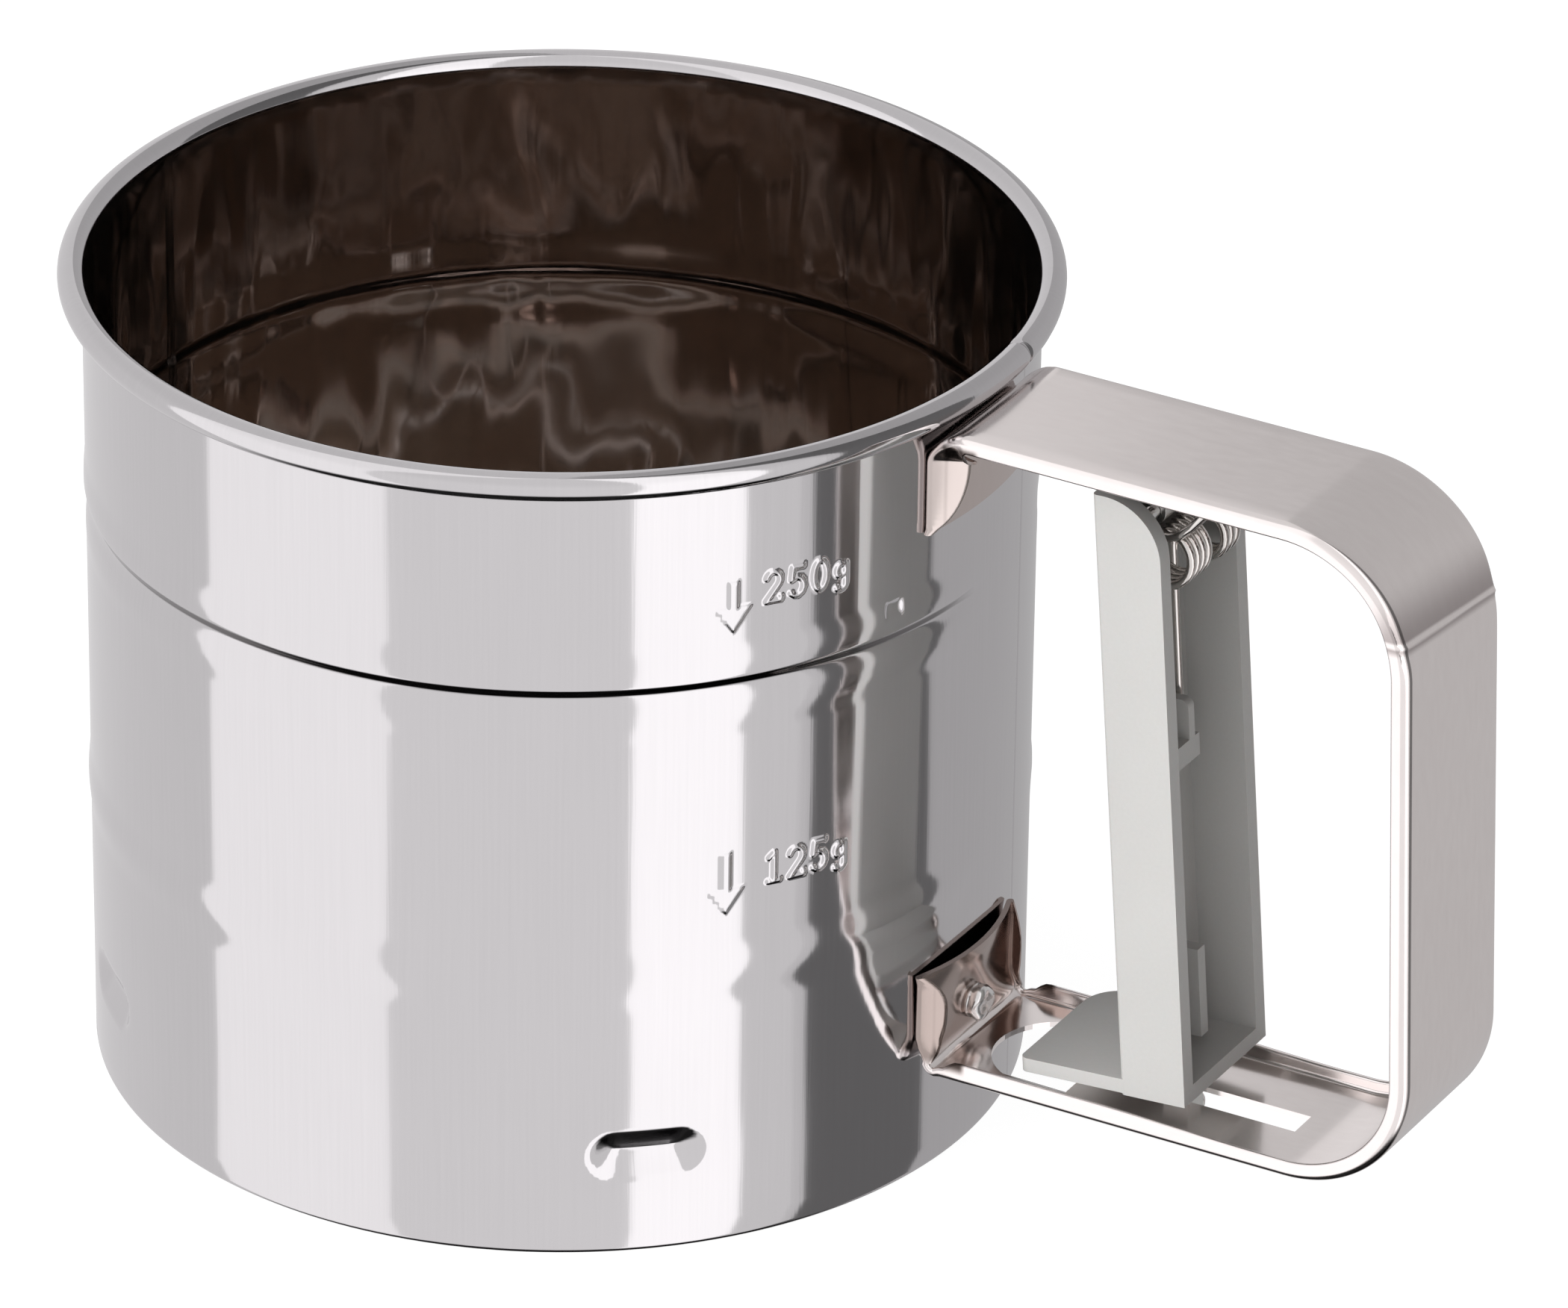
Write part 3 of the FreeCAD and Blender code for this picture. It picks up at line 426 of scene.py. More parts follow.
def trigger_plastic():
    """Light grey moulded plastic with a faint grain of its mould."""
    material, nodes, shader = new_material("trigger_plastic", Roughness=0.42, Specular_IOR_Level=0.42)
    place = nodes.add("ShaderNodeTexCoord").outputs["Object"]
    fine = nodes.noise(place, 2600.0, 3.0, 0.6)
    broad = nodes.noise(place, 45.0, 3.0, 0.5)
    tone = nodes.math("ADD", nodes.math("MULTIPLY", fine, 0.3), nodes.math("MULTIPLY", broad, 0.7))
    stops = [(0.3, (0.475, 0.470, 0.455)), (0.7, (0.530, 0.525, 0.510))]
    nodes.link(nodes.ramp(tone, stops), shader.inputs["Base Color"])
    nodes.link(nodes.span(broad, 0.36, 0.5), shader.inputs["Roughness"])
    nodes.link(nodes.bump(fine, 0.12, 0.00003), shader.inputs["Normal"])
    shader.inputs["Subsurface Weight"].default_value = 0.05
    shader.inputs["Subsurface Scale"].default_value = 0.001
    return material


# ---------------------------------------------------------------- filling marks
def arc_points(cx, cy, rx, ry, start, end, count=9):
    """Points on an elliptic arc, angles in degrees."""
    turns = np.radians(np.linspace(start, end, count))
    return [(cx + rx * math.cos(t), cy + ry * math.sin(t)) for t in turns]


def glyph(mark):
    """Strokes of a figure in a box 0.6 wide and 1 high."""
    if mark == "0":
        return [arc_points(0.3, 0.5, 0.22, 0.44, 0, 360, 21)]
    if mark == "1":
        return [[(0.18, 0.80), (0.34, 0.94), (0.34, 0.06)], [(0.16, 0.06), (0.52, 0.06)]]
    if mark == "2":
        return [arc_points(0.30, 0.70, 0.22, 0.24, 165, -35) + [(0.08, 0.06), (0.54, 0.06), (0.54, 0.14)]]
    if mark == "5":
        return [[(0.50, 0.94), (0.16, 0.94), (0.12, 0.56)] + arc_points(0.28, 0.34, 0.24, 0.28, 120, -140)]
    if mark == "g":
        return [arc_points(0.26, 0.46, 0.16, 0.18, 0, 360, 15), [(0.42, 0.62), (0.42, 0.02)],
                arc_points(0.25, 0.02, 0.17, 0.15, 0, -150)]
    return []


def mark_strokes():
    """Strokes of the figures, as polylines of (arc length, z) on the wall."""
    strokes = []
    for text, start, z in MARKS:
        for index, mark in enumerate(text):
            left = math.radians(start) * CUP_R + index * FIGURE_STEP
            for line in glyph(mark):
                strokes.append([(left + x * FIGURE_W, z + y * FIGURE_H) for x, y in line])
    return strokes


def stroke_distance(s, z, strokes):
    """Distance of each point (s, z) from the nearest stroke."""
    nearest = np.full(s.shape, 1e3)
    for line in strokes:
        for (ax, az), (bx, bz) in zip(line, line[1:]):
            run = (bx - ax) ** 2 + (bz - az) ** 2
            t = np.clip(((s - ax) * (bx - ax) + (z - az) * (bz - az)) / run, 0, 1)
            nearest = np.minimum(nearest, np.hypot(s - ax - t * (bx - ax), z - az - t * (bz - az)))
    return nearest


def arrow_distance(s, z, angle, low, high):
    """Distance outside an arrow that points down; negative inside it."""
    x = np.abs(s - math.radians(angle) * CUP_R)
    shaft_mid, shaft_half = (high + low + ARROW_NECK) / 2, (high - low - ARROW_NECK) / 2
    shaft = np.maximum(x - ARROW_SHAFT, np.abs(z - shaft_mid) - shaft_half)
    wide, tall = ARROW_HEAD
    head = np.maximum((x * tall - (z - low) * wide) / math.hypot(wide, tall), z - low - tall)
    return np.minimum(shaft, head)


# ---------------------------------------------------------------- cup
def bead_share(angle):
    """1 where the beads are full, falling to 0 near the side seam."""
    away = np.abs((angle - SEAM + 180) % 360 - 180)
    return smoothstep(away, BEAD_GAP, BEAD_GAP + BEAD_FADE)


def upper_bead(z):
    """Profile of the upper bead: a gentle swell, a sharp step under it and a soft hollow below."""
    swell = 0.20 * smoothstep(z, 70.2, 66.8)
    step = -0.50 * smoothstep(z, 66.4, 65.1)
    below = 0.16 * smoothstep(z, 65.0, 62.8) * smoothstep(z, 59.4, 62.2)
    return swell + step + 0.30 * smoothstep(z, 65.0, 59.6) + below


def lower_bead(z):
    """Soft rounded bead."""
    middle, half, deep = LOW_BEAD
    inside = np.clip(np.abs(z - middle) / half, 0, 1)
    return deep * 0.5 * (1 + np.cos(math.pi * inside))


def dimples(angle, z):
    """Depth of the four pressed slots."""
    depth = np.zeros(np.broadcast(angle, z).shape)
    for middle in DIMPLE_ANGLES:
        s = np.radians((angle - middle + 180) % 360 - 180) * CUP_R
        straight = DIMPLE_LEN / 2 - DIMPLE_HALF
        along = np.maximum(np.abs(s) - straight, 0)
        reach = np.hypot(along, z - DIMPLE_Z) / DIMPLE_HALF
        shape = np.clip(1 - reach, 0, 1)
        depth += DIMPLE_DEEP * (1 - (1 - shape) ** 1.12)
    return depth


def dents(angle, z):
    """Slow unevenness of the sheet: never quite round, and drawn in beside the slots."""
    turn = np.radians(angle)
    wave = 0.020 * np.sin(3 * turn + 0.6) + 0.014 * np.sin(7 * turn + 0.05 * z)
    wave = wave + 0.008 * np.sin(13 * turn - 0.11 * z)
    pull = 0.0
    for middle in DIMPLE_ANGLES:
        s = np.radians((angle - middle + 180) % 360 - 180) * CUP_R
        pull = pull + 0.10 * np.exp(-(s / 9.5) ** 2 - ((z - DIMPLE_Z) / 6.0) ** 2)
    return wave * smoothstep(z, 0, 20) * smoothstep(z, 91, 80) - pull


def wall_swell(angle, z, strokes):
    """How far the wall stands proud of the plain cylinder; the inner wall has no marks and shallower beads."""
    full = 0.45 if strokes is None else 1.0
    swell = full * (upper_bead(z) + lower_bead(z)) * bead_share(angle)
    swell = swell + dents(angle, z) - dimples(angle, z)
    marked = (angle > -43) & (angle < -13)
    if strokes is not None and np.any(marked):
        s = np.radians(angle) * CUP_R
        s, level = s[marked], z[marked]
        near = stroke_distance(s, level, strokes) - MARK_STROKE
        for arrow_angle, low, high in ARROWS:
            near = np.minimum(near, arrow_distance(s, level, arrow_angle, low, high))
        swell[marked] += MARK_DEEP * smoothstep(near, 0.24, -0.16)
        box = np.maximum(np.abs(s - math.radians(RECESS[0]) * CUP_R) - RECESS_HALF[0],
                         np.abs(level - RECESS[1]) - RECESS_HALF[1])
        swell[marked] -= RECESS_DEEP * smoothstep(box, 0.25, -0.25)
    seam = np.abs((angle - SEAM + 180) % 360 - 180)
    return swell - 0.10 * smoothstep(seam, 0.28, 0.05)


def spaced(low, high, step):
    """Even places from low up to high, high left out."""
    count = max(int(round((high - low) / step)), 1)
    return list(low + (high - low) * np.arange(count) / count)


def cup_angles():
    """Angles of the cup's columns: close together at the marks, slots, seam and joint."""
    fine = [(-42.0, -21.5, 0.17), (-18.0, -14.0, 0.25), (RIM_JOINT - 1.2, RIM_JOINT + 1.2, 0.2),
            (SEAM - 0.8, SEAM + 0.8, 0.16)]
    fine += [(middle - 9.0, middle + 9.0, 0.6) for middle in DIMPLE_ANGLES]
    fine.sort()
    angles, at = [], -180.0
    for low, high, step in fine:
        low = max(low, at)
        if low > at:
            angles += spaced(at, low, 1.8)
        angles += spaced(low, high, step)
        at = high
    return np.array(angles + spaced(at, 180.0, 1.8))


def cup_heights():
    """Heights of the outer wall's rows."""
    runs = [(HEM_ROUND, 6.6, 2.0), (6.6, 16.6, 0.42), (16.6, 27.6, 2.2), (27.6, 36.0, 0.6), (36.0, 38.4, 1.2),
            (38.4, 47.4, 0.18), (47.4, 59.2, 2.1), (59.2, 64.8, 0.4), (64.8, 66.8, 0.14), (66.8, 70.6, 0.4),
            (70.6, 79.6, 0.18), (79.6, CURL_MID[1], 1.6)]
    heights = []
    for low, high, step in runs:
        heights += spaced(low, high, step)
    return np.array(heights + [CURL_MID[1]])


def inner_heights():
    """Heights of the inner wall's rows, from the curl down to the hem."""
    runs = [(HEM_H, 6.6, 2.5), (6.6, 16.6, 0.8), (16.6, 27.6, 2.2), (27.6, 36.0, 0.9), (36.0, 59.2, 2.3),
            (59.2, 64.8, 0.7), (64.8, 66.8, 0.33), (66.8, 70.6, 0.7), (70.6, CURL_MID[1], 2.0)]
    heights = []
    for low, high, step in runs:
        heights += spaced(low, high, step)
    return np.array((heights + [CURL_MID[1]])[::-1])


def curl_rows(radius, start, end, count):
    """Rows of the rim curl as (radius, height) about its middle."""
    turns = np.radians(np.linspace(start, end, count))
    return [(CURL_MID[0] + radius * math.cos(t), CURL_MID[1] + radius * math.sin(t)) for t in turns]


def make_cup(material):
    """Cup wall, rim curl and hem in one closed sheet."""
    angles = cup_angles()
    strokes = mark_strokes()
    rows = []

    def add_plain(r, z):
        rows.append((np.full(angles.shape, r), np.full(angles.shape, z)))

    for turn in np.radians(np.linspace(-90, 0, 6)[:-1]):
        add_plain(CUP_R - HEM_ROUND + HEM_ROUND * math.cos(turn), HEM_ROUND + HEM_ROUND * math.sin(turn))
    for z in cup_heights():
        level = np.full(angles.shape, z)
        rows.append((CUP_R + wall_swell(angles, level, strokes), level))
    for r, z in curl_rows(CURL_R - CUP_T, 180, CURL_END, 14)[1:]:
        add_plain(r, z)
    joint = np.abs(angles - RIM_JOINT)
    offset = 0.05 * (angles > RIM_JOINT) * smoothstep(joint, 1.2, 0.4)
    notch = 1 - 0.16 * smoothstep(joint, 0.55, 0.1) - offset
    for r, z in curl_rows(CURL_R, CURL_END, 180, 30):
        rows.append((CURL_MID[0] + (r - CURL_MID[0]) * notch, CURL_MID[1] + (z - CURL_MID[1]) * notch))
    for z in inner_heights()[1:]:
        level = np.full(angles.shape, z)
        rows.append((CUP_R - CUP_T + wall_swell(angles, level, None), level))
    add_plain(HEM_R, HEM_H)
    add_plain(HEM_R, 0.25)
    add_plain(HEM_R + 0.25, 0.0)
    turn = np.radians(angles)
    points = [np.stack([r * np.cos(turn), r * np.sin(turn), z], 1) for r, z in rows]
    verts = np.concatenate(points)
    faces = grid_faces(len(rows), len(angles), True, True)
    cup = new_object("cup", verts, faces, material)
    around = np.tile(turn * CUP_R * MM, len(rows))
    up = np.concatenate([z for _, z in rows]) * MM
    add_uv(cup, around, up)
    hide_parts("cup_body")
    return cup


# ---------------------------------------------------------------- handle strap
def strap_corners():
    """Corners of the strap's outer line in the XZ plane, from the upper to the lower flange."""
    def meet(p, u, q, v):
        det = u[0] * -v[1] + v[0] * u[1]
        a = ((q[0] - p[0]) * -v[1] + v[0] * (q[1] - p[1])) / det
        return np.array([p[0] + a * u[0], p[1] + a * u[1]])

    flange = (CUP_R + 0.05, 0)
    top, low = (0, ARM_TOP), (CUP_R, ARM_LOW_Z)
    run = (GRIP_LOW[0] - GRIP_HIGH[0], GRIP_LOW[1] - GRIP_HIGH[1])
    return [np.array([flange[0], FLANGE_UP_END]), meet(flange, (0, 1), top, (1, 0)),
            meet(top, (1, 0), GRIP_HIGH, run), meet(GRIP_HIGH, run, low, (1, ARM_LOW_RISE)),
            meet(low, (1, ARM_LOW_RISE), flange, (0, 1)), np.array([flange[0], FLANGE_LOW_END])]


def strap_path():
    """Stations along the strap: points, inward normals and which stretch each is on."""
    corners = strap_corners()
    points, stretch = [], []
    start = corners[0]
    for index in range(1, 5):
        corner = corners[index]
        back = corners[index - 1] - corner
        ahead = corners[index + 1] - corner
        back, ahead = back / np.linalg.norm(back), ahead / np.linalg.norm(ahead)
        half = math.acos(np.clip(back @ ahead, -1, 1)) / 2
        radius = BENDS[index - 1]
        into = corner + back * radius / math.tan(half)
        middle = corner + (back + ahead) / np.linalg.norm(back + ahead) * radius / math.sin(half)
        steps = max(int(np.linalg.norm(into - start) / 0.6), 6)
        for t in np.arange(steps) / steps:
            points.append(start + (into - start) * t)
            stretch.append(index - 1)
        turn = math.pi - 2 * half
        first = into - middle
        way = -1.0
        count = max(int(radius * turn / (0.22 if index == 2 else 0.5)), 12)
        for t in np.arange(count) / count * turn:
            c, s = math.cos(way * t), math.sin(way * t)
            points.append(middle + np.array([c * first[0] - s * first[1], s * first[0] + c * first[1]]))
            stretch.append(index - 0.5)
        c, s = math.cos(way * turn), math.sin(way * turn)
        start = middle + np.array([c * first[0] - s * first[1], s * first[0] + c * first[1]])
    steps = 12
    for t in np.arange(steps + 1) / steps:
        points.append(start + (corners[5] - start) * t)
        stretch.append(4)
    points = np.array(points)
    tangents = np.gradient(points, axis=0)
    tangents /= np.linalg.norm(tangents, axis=1)[:, None]
    normals = np.stack([tangents[:, 1], -tangents[:, 0]], 1)
    return points, normals, np.array(stretch)


def strap_section(lip):
    """Closed outline of the strap's section as (y, depth), outer face first, with rolled edges."""
    half = STRAP_W / 2
    fold = min(STRAP_FOLD, max(lip, 0.7))
    inner = max(fold - STRAP_T, 0.08)
    lip = max(lip, fold + 0.35)
    outline = [(y, 0.0) for y in np.linspace(-(half - fold), half - fold, 13)]
    outline += [(half - fold + fold * math.sin(t), fold - fold * math.cos(t))
                for t in np.linspace(0, math.pi / 2, 9)[1:]]
    edge = STRAP_T / 2
    outline += [(half, lip - edge)]
    outline += [(half - edge + edge * math.cos(t), lip - edge + edge * math.sin(t))
                for t in np.linspace(0, math.pi, 7)[1:]]
    outline += [(half - fold + inner * math.sin(t), fold - inner * math.cos(t))
                for t in np.linspace(math.pi / 2, 0, 7)]
    right = outline[13:]
    outline += [(y, STRAP_T) for y in np.linspace(half - fold, -(half - fold), 13)[1:-1]]
    outline += [(-y, h) for y, h in reversed(right)]
    return np.array(outline)


def round_off(t):
    """Quarter circle from 0 at t = 0 to 1 at t = 1."""
    t = float(np.clip(t, 0, 1))
    return math.sqrt(t * (2 - t))


def lip_depth(point, stretch):
    """Depth of the rolled edge at a station: an ear beside each flange, and a low edge along the loop."""
    x, z = point
    if stretch == 0:
        return EAR_UP * round_off((z - FLANGE_UP_END) / 8.0)
    if stretch <= 0.5:
        return LIP_UP + (EAR_UP - LIP_UP) * float(smoothstep(x, 54.0, 51.0))
    if stretch >= 3.5:
        ear = EAR_LOW * round_off((FLANGE_LOW_END - z) / 4.0) * round_off((z - 14.0) / 5.0)
        return max(ear, STRAP_FOLD * 0.7 if z < 20 else 0.0)
    if stretch >= 3:
        lip = LIP_JOIN + (LIP_LOW - LIP_JOIN) * float(smoothstep(x, 51.5, 54.5))
        return lip + (LIP_GRIP - LIP_LOW) * float(smoothstep(x, 70, 90))
    return LIP_UP + (LIP_GRIP - LIP_UP) * float(smoothstep(z, 86.0, 76.0))


def crease_depth(above):
    """Pressing mark across the grip: a sharp crest between two shallow hollows."""
    width = 1.3 if above > 0 else 0.75
    reach = abs(above) / width
    return CREASE_HIGH * reach * math.exp(1 - reach)


def make_strap(material):
    """Handle strap: one bent sheet with rolled edges, curved flanges and its cut-outs."""
    points, normals, stretch = strap_path()
    lengths = np.concatenate([[0], np.cumsum(np.linalg.norm(np.diff(points, axis=0), axis=1))])
    verts, u, v = [], [], []
    for point, normal, part, s in zip(points, normals, stretch, lengths):
        section = strap_section(lip_depth(point, part))
        hug_up = float(smoothstep(point[1], 88.0, 84.0)) if part <= 0.5 else 0.0
        hug_low = float(smoothstep(point[1], 14.0, 17.0)) if part >= 3.5 else 0.0
        hug = max(hug_up, hug_low)
        tilt = 0.0
        if part <= 0.5:
            tilt = 0.8 if part == 0 else 0.8 * float(smoothstep(point[0], 53.5, 50.5))
        elif part >= 3.5:
            tilt = 0.85 * float(smoothstep(point[1], 13.6, 15.6))
        bow = FLANGE_BOW * float(smoothstep(point[1], 17.5, FLANGE_LOW_END)) if part == 4 else 0.0
        for y, depth in section:
            sag = (math.sqrt((CUP_R + 0.05) ** 2 - y * y) - CUP_R - 0.05) * hug
            off = bow * (1 - (y / (STRAP_W / 2)) ** 2)
            crease = 0.0
            if 1.0 < part <= 2.0 and depth < STRAP_T + 0.01:
                crease = crease_depth(point[1] - CREASE_Z + CREASE_SLANT * y - 0.25 * math.sin(0.35 * y))
            x = point[0] + normal[0] * (depth + crease) + sag + off
            z = point[1] + normal[1] * (depth + crease)
            over = max(depth - 0.7, 0.0) if abs(y) > STRAP_W / 2 - STRAP_FOLD else 0.0
            verts.append((x, y - math.copysign(tilt * over, y), z))
            u.append(s * MM)
            v.append((y + depth) * MM)
    columns = len(strap_section(LIP_GRIP))
    rows = len(points)
    faces = grid_faces(rows, columns, False, True)
    faces.append(tuple(range(columns - 1, -1, -1)))
    faces.append(tuple((rows - 1) * columns + i for i in range(columns)))
    strap = new_object("strap", verts, faces, material)
    add_uv(strap, u, v)
    cut_openings(strap)
    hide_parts("handle_strap")
    return strap


def cutter(name, outline, z_low, z_high):
    """Closed prism of an (x, y) outline, for cutting."""
    count = len(outline)
    verts = [(x, y, z) for z in (z_low, z_high) for x, y in outline]
    faces = [tuple(range(count - 1, -1, -1)), tuple(range(count, 2 * count))]
    faces += [(i, (i + 1) % count, count + (i + 1) % count, count + i) for i in range(count)]
    mesh = bpy.data.meshes.new(name)
    mesh.from_pydata([tuple(c * MM for c in v) for v in verts], [], faces)
    obj = bpy.data.objects.new(name, mesh)
    bpy.context.scene.collection.objects.link(obj)
    return obj


def cut_openings(strap):
    """Cut the window and the slot through the floor of the lower arm."""
    turns = np.radians(np.linspace(90, 270, 25))
    window = [(WINDOW_X[0] + WINDOW_R * math.cos(t), WINDOW_R * math.sin(t)) for t in turns]
    window += [(WINDOW_X[1], -WINDOW_R), (WINDOW_X[1], WINDOW_R)]
    slot = [(SLOT_X[0], -SLOT_HALF), (SLOT_X[1], -SLOT_HALF), (SLOT_X[1], SLOT_HALF), (SLOT_X[0], SLOT_HALF)]
    for name, outline in (("window_cut", window), ("slot_cut", slot)):
        tool = cutter(name, outline, 11.5, 14.6)
        cut = strap.modifiers.new(name, "BOOLEAN")
        cut.operation = "DIFFERENCE"
        cut.object = tool
        cut.solver = "EXACT"
        bake_modifiers(strap)
        bpy.data.objects.remove(tool)
    shade_by_angle(strap, 40)


def bake_modifiers(obj):
    """Replace an object's mesh by the one its modifiers give."""
    bpy.context.view_layer.update()
    depsgraph = bpy.context.evaluated_depsgraph_get()
    mesh = bpy.data.meshes.new_from_object(obj.evaluated_get(depsgraph))
    obj.modifiers.clear()
    obj.data = mesh


# ---------------------------------------------------------------- return spring
def spring_half(side, turns):
    """Path of one half of the spring, from the loop's foot up, round its coil and along the strap."""
    lane = LOOP_Y + side * LOOP_HALF
    lean_x, lean_z = math.cos(TRIGGER_LEAN), math.sin(TRIGGER_LEAN)
    across, down = LOOP_FOOT
    foot = np.array([HINGE[0] + across * lean_x + down * lean_z, lane,
                     HINGE[1] + across * lean_z - down * lean_x])
    front = np.array([COIL_MID[0] - COIL_R, lane, COIL_MID[1]])
    path = [foot + (front - foot) * t for t in np.linspace(0, 1, 14)[:-1]]
    steps = int(turns * 28)
    for k in range(steps + 1):
        turn = 2 * math.pi * turns * k / steps
        x, y = COIL_MID[0] - COIL_R * math.cos(turn), lane + side * COIL_PITCH * turns * k / steps
        path.append(np.array([x, y, COIL_MID[1] + COIL_R * math.sin(turn)]))
    outer = lane + side * COIL_PITCH * turns
    for x, z in REST_ARM:
        path.append(np.array([COIL_MID[0] + x, outer, COIL_MID[1] + z]))
    return path


def make_spring(material):
    """Double torsion spring as one wire."""
    near = spring_half(-1, TURNS_NEAR)
    far = spring_half(1, TURNS_FAR)
    low = near[0] + np.array([0, 0, -0.35])
    wide = far[0][1] - near[0][1]
    across = [low + np.array([0, wide * t, -0.1 * math.sin(math.pi * t)]) for t in (0.15, 0.5, 0.85)]
    path = near[::-1] + across + far
    verts, faces = tube(path, COIL_WIRE, 12)
    spring = new_object("spring_wire", verts, faces, material, body=None)
    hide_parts("return_spring")
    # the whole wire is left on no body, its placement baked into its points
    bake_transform(spring)
    return spring


# ---------------------------------------------------------------- sieve cloth
def make_cloth(material):
    """Plain weave of stainless wire, cut round."""
    verts, faces = [], []
    count = int(MESH_R / MESH_PITCH)
    for way in (0, 1):
        for k in range(-count, count + 1):
            across = k * MESH_PITCH
            half = math.sqrt(max(MESH_R ** 2 - across ** 2, 0)) - 0.1
            if half < 3 * MESH_PITCH:
                continue
            steps = int(half / MESH_PITCH * 2)
            path = []
            for i in range(-steps, steps + 1):
                along = i * MESH_PITCH / 2
                phase = math.pi * (along / MESH_PITCH + k + way)
                z = MESH_Z + MESH_WIRE * 0.62 * math.cos(phase)
                path.append((along, across, z) if way == 0 else (across, along, z))
            points, quads = tube(path, MESH_WIRE, 4, len(verts))
            verts += points
            faces += quads
    cloth = new_object("wire_cloth", verts, faces, material)
    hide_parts("sieve_mesh")
    return cloth


# ---------------------------------------------------------------- lower rivet
def make_rivet(material):
    """Blind rivet: domed head inside the cup, rough upset tail outside."""
    profile = [(0.0, -2.3), (1.2, -2.25), (2.3, -1.95), (2.9, -1.45), (2.95, -1.22), (1.6, -1.2), (1.6, 0.55),
               (1.9, 0.8), (1.92, 1.0), (1.76, 1.15), (1.9, 1.32), (1.95, 1.7), (1.9, 2.08),
               (1.65, 2.34), (1.1, 2.42), (0.5, 2.32), (0.0, 2.3)]
    sides = 36
    verts, rows = [], len(profile)
    for r, x in profile:
        for k in range(sides):
            turn = 2 * math.pi * k / sides
            rough = 1.0
            if x > 0.8:
                rough += 0.035 * math.sin(5 * turn + 3 * x) + 0.02 * math.sin(11 * turn + 7 * x)
                rough += random.uniform(-0.012, 0.012)
            dent = 0.12 * math.sin(3 * turn + r) if x > 2.0 and r > 0.3 else 0.0
            reach = r * rough
            verts.append((RIVET[0] + x + dent, reach * math.cos(turn), RIVET[2] + reach * math.sin(turn)))
    faces = grid_faces(rows, sides, False, True)
    rivet = new_object("rivet", verts, faces, material)
    bm = bmesh.new()
    bm.from_mesh(rivet.data)
    bmesh.ops.remove_doubles(bm, verts=bm.verts, dist=0.00001)
    bmesh.ops.recalc_face_normals(bm, faces=bm.faces)
    bm.to_mesh(rivet.data)
    bm.free()
    for polygon in rivet.data.polygons:
        polygon.use_smooth = True
    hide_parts("lower_rivet")
    return rivet


# ---------------------------------------------------------------- carried-over nodes
def finish_node(name, material, width):
    """Give a CAD node its material and softly rounded edges."""
    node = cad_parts[name]
    node.data.materials.clear()
    node.data.materials.append(material)
    weld = node.modifiers.new("weld", "WELD")
    weld.merge_threshold = 0.000002
    flat = node.modifiers.new("flat", "DECIMATE")
    flat.decimate_type = "DISSOLVE"
    flat.angle_limit = math.radians(1.0)
    bevel = node.modifiers.new("round", "BEVEL")
    bevel.width = width * MM
    bevel.segments = 3
    bevel.limit_method = "ANGLE"
    bevel.angle_limit = math.radians(35)
    bevel.harden_normals = False
    for polygon in node.data.polygons:
        polygon.use_smooth = True
    smooth = node.modifiers.new("normals", "WEIGHTED_NORMAL")
    smooth.keep_sharp = True
    return node


# ---------------------------------------------------------------- studio
def azimuth_ramp(nodes, azimuth, panels, rest):
    """Brightness round the horizon: panels are (start, end, brightness) in degrees."""
    edge = 0.5 / 360
    value = None
    for start, end, level in panels:
        low, high = start / 360, end / 360
        up = nodes.rise(azimuth, low - edge, low + edge)
        down = nodes.rise(azimuth, high + edge, high - edge)
        share = nodes.math("MULTIPLY", up, down)
        part = nodes.math("MULTIPLY", share, level - rest)
        value = part if value is None else nodes.math("ADD", value, part)
    return nodes.math("ADD", value, rest)


def make_world():
    """Light tent: upright white and grey panels all round, dark underneath and a little dimmer above."""
    world = bpy.data.worlds.new("light_tent")
    bpy.context.scene.world = world
    world.use_nodes = True
    nodes = Nodes(world.node_tree)
    background = world.node_tree.nodes["Background"]
    way = nodes.add("ShaderNodeTexCoord").outputs["Generated"]
    split = nodes.add("ShaderNodeSeparateXYZ")
    nodes.link(way, split.inputs[0])
    turn = nodes.math("ARCTAN2", split.outputs["Y"], split.outputs["X"])
    azimuth = nodes.math("FRACT", nodes.math("ADD", nodes.math("DIVIDE", turn, 2 * math.pi), 1.0))
    panels = [(42.0, 118.0, 0.47), (118.0, 207.5, 0.73), (207.5, 259.0, 1.13), (318.5, 346.0, 1.40),
              (346.0, 359.9, 0.76), (0.1, 4.0, 0.68), (4.0, 42.0, 0.15)]
    tent = azimuth_ramp(nodes, azimuth, panels, 0.85)
    height = split.outputs["Z"]
    below = nodes.rise(height, math.sin(math.radians(-64)), math.sin(math.radians(-50)), start=0.015)
    above = nodes.rise(height, math.sin(math.radians(8)), math.sin(math.radians(50)), start=1.0, end=0.92)
    level = nodes.math("MULTIPLY", tent, nodes.math("MULTIPLY", below, above))
    # matt surfaces get a softer light, from the front and above
    facing = nodes.math("ADD", nodes.math("MULTIPLY", split.outputs["X"], -0.4),
                        nodes.math("MULTIPLY", split.outputs["Y"], -0.8))
    facing = nodes.math("ADD", facing, nodes.math("MULTIPLY", height, 0.4))
    soft = nodes.rise(facing, -0.1, 0.8, end=0.95)
    path = nodes.add("ShaderNodeLightPath")
    choose = nodes.add("ShaderNodeMix", data_type="FLOAT")
    nodes.link(nodes.math("GREATER_THAN", path.outputs["Diffuse Depth"], 0.5), choose.inputs[0])
    nodes.link(level, choose.inputs[2])
    nodes.link(soft, choose.inputs[3])
    nodes.link(choose.outputs[0], background.inputs["Strength"])
    background.inputs["Color"].default_value = (1.0, 0.985, 0.995, 1.0)
    return world


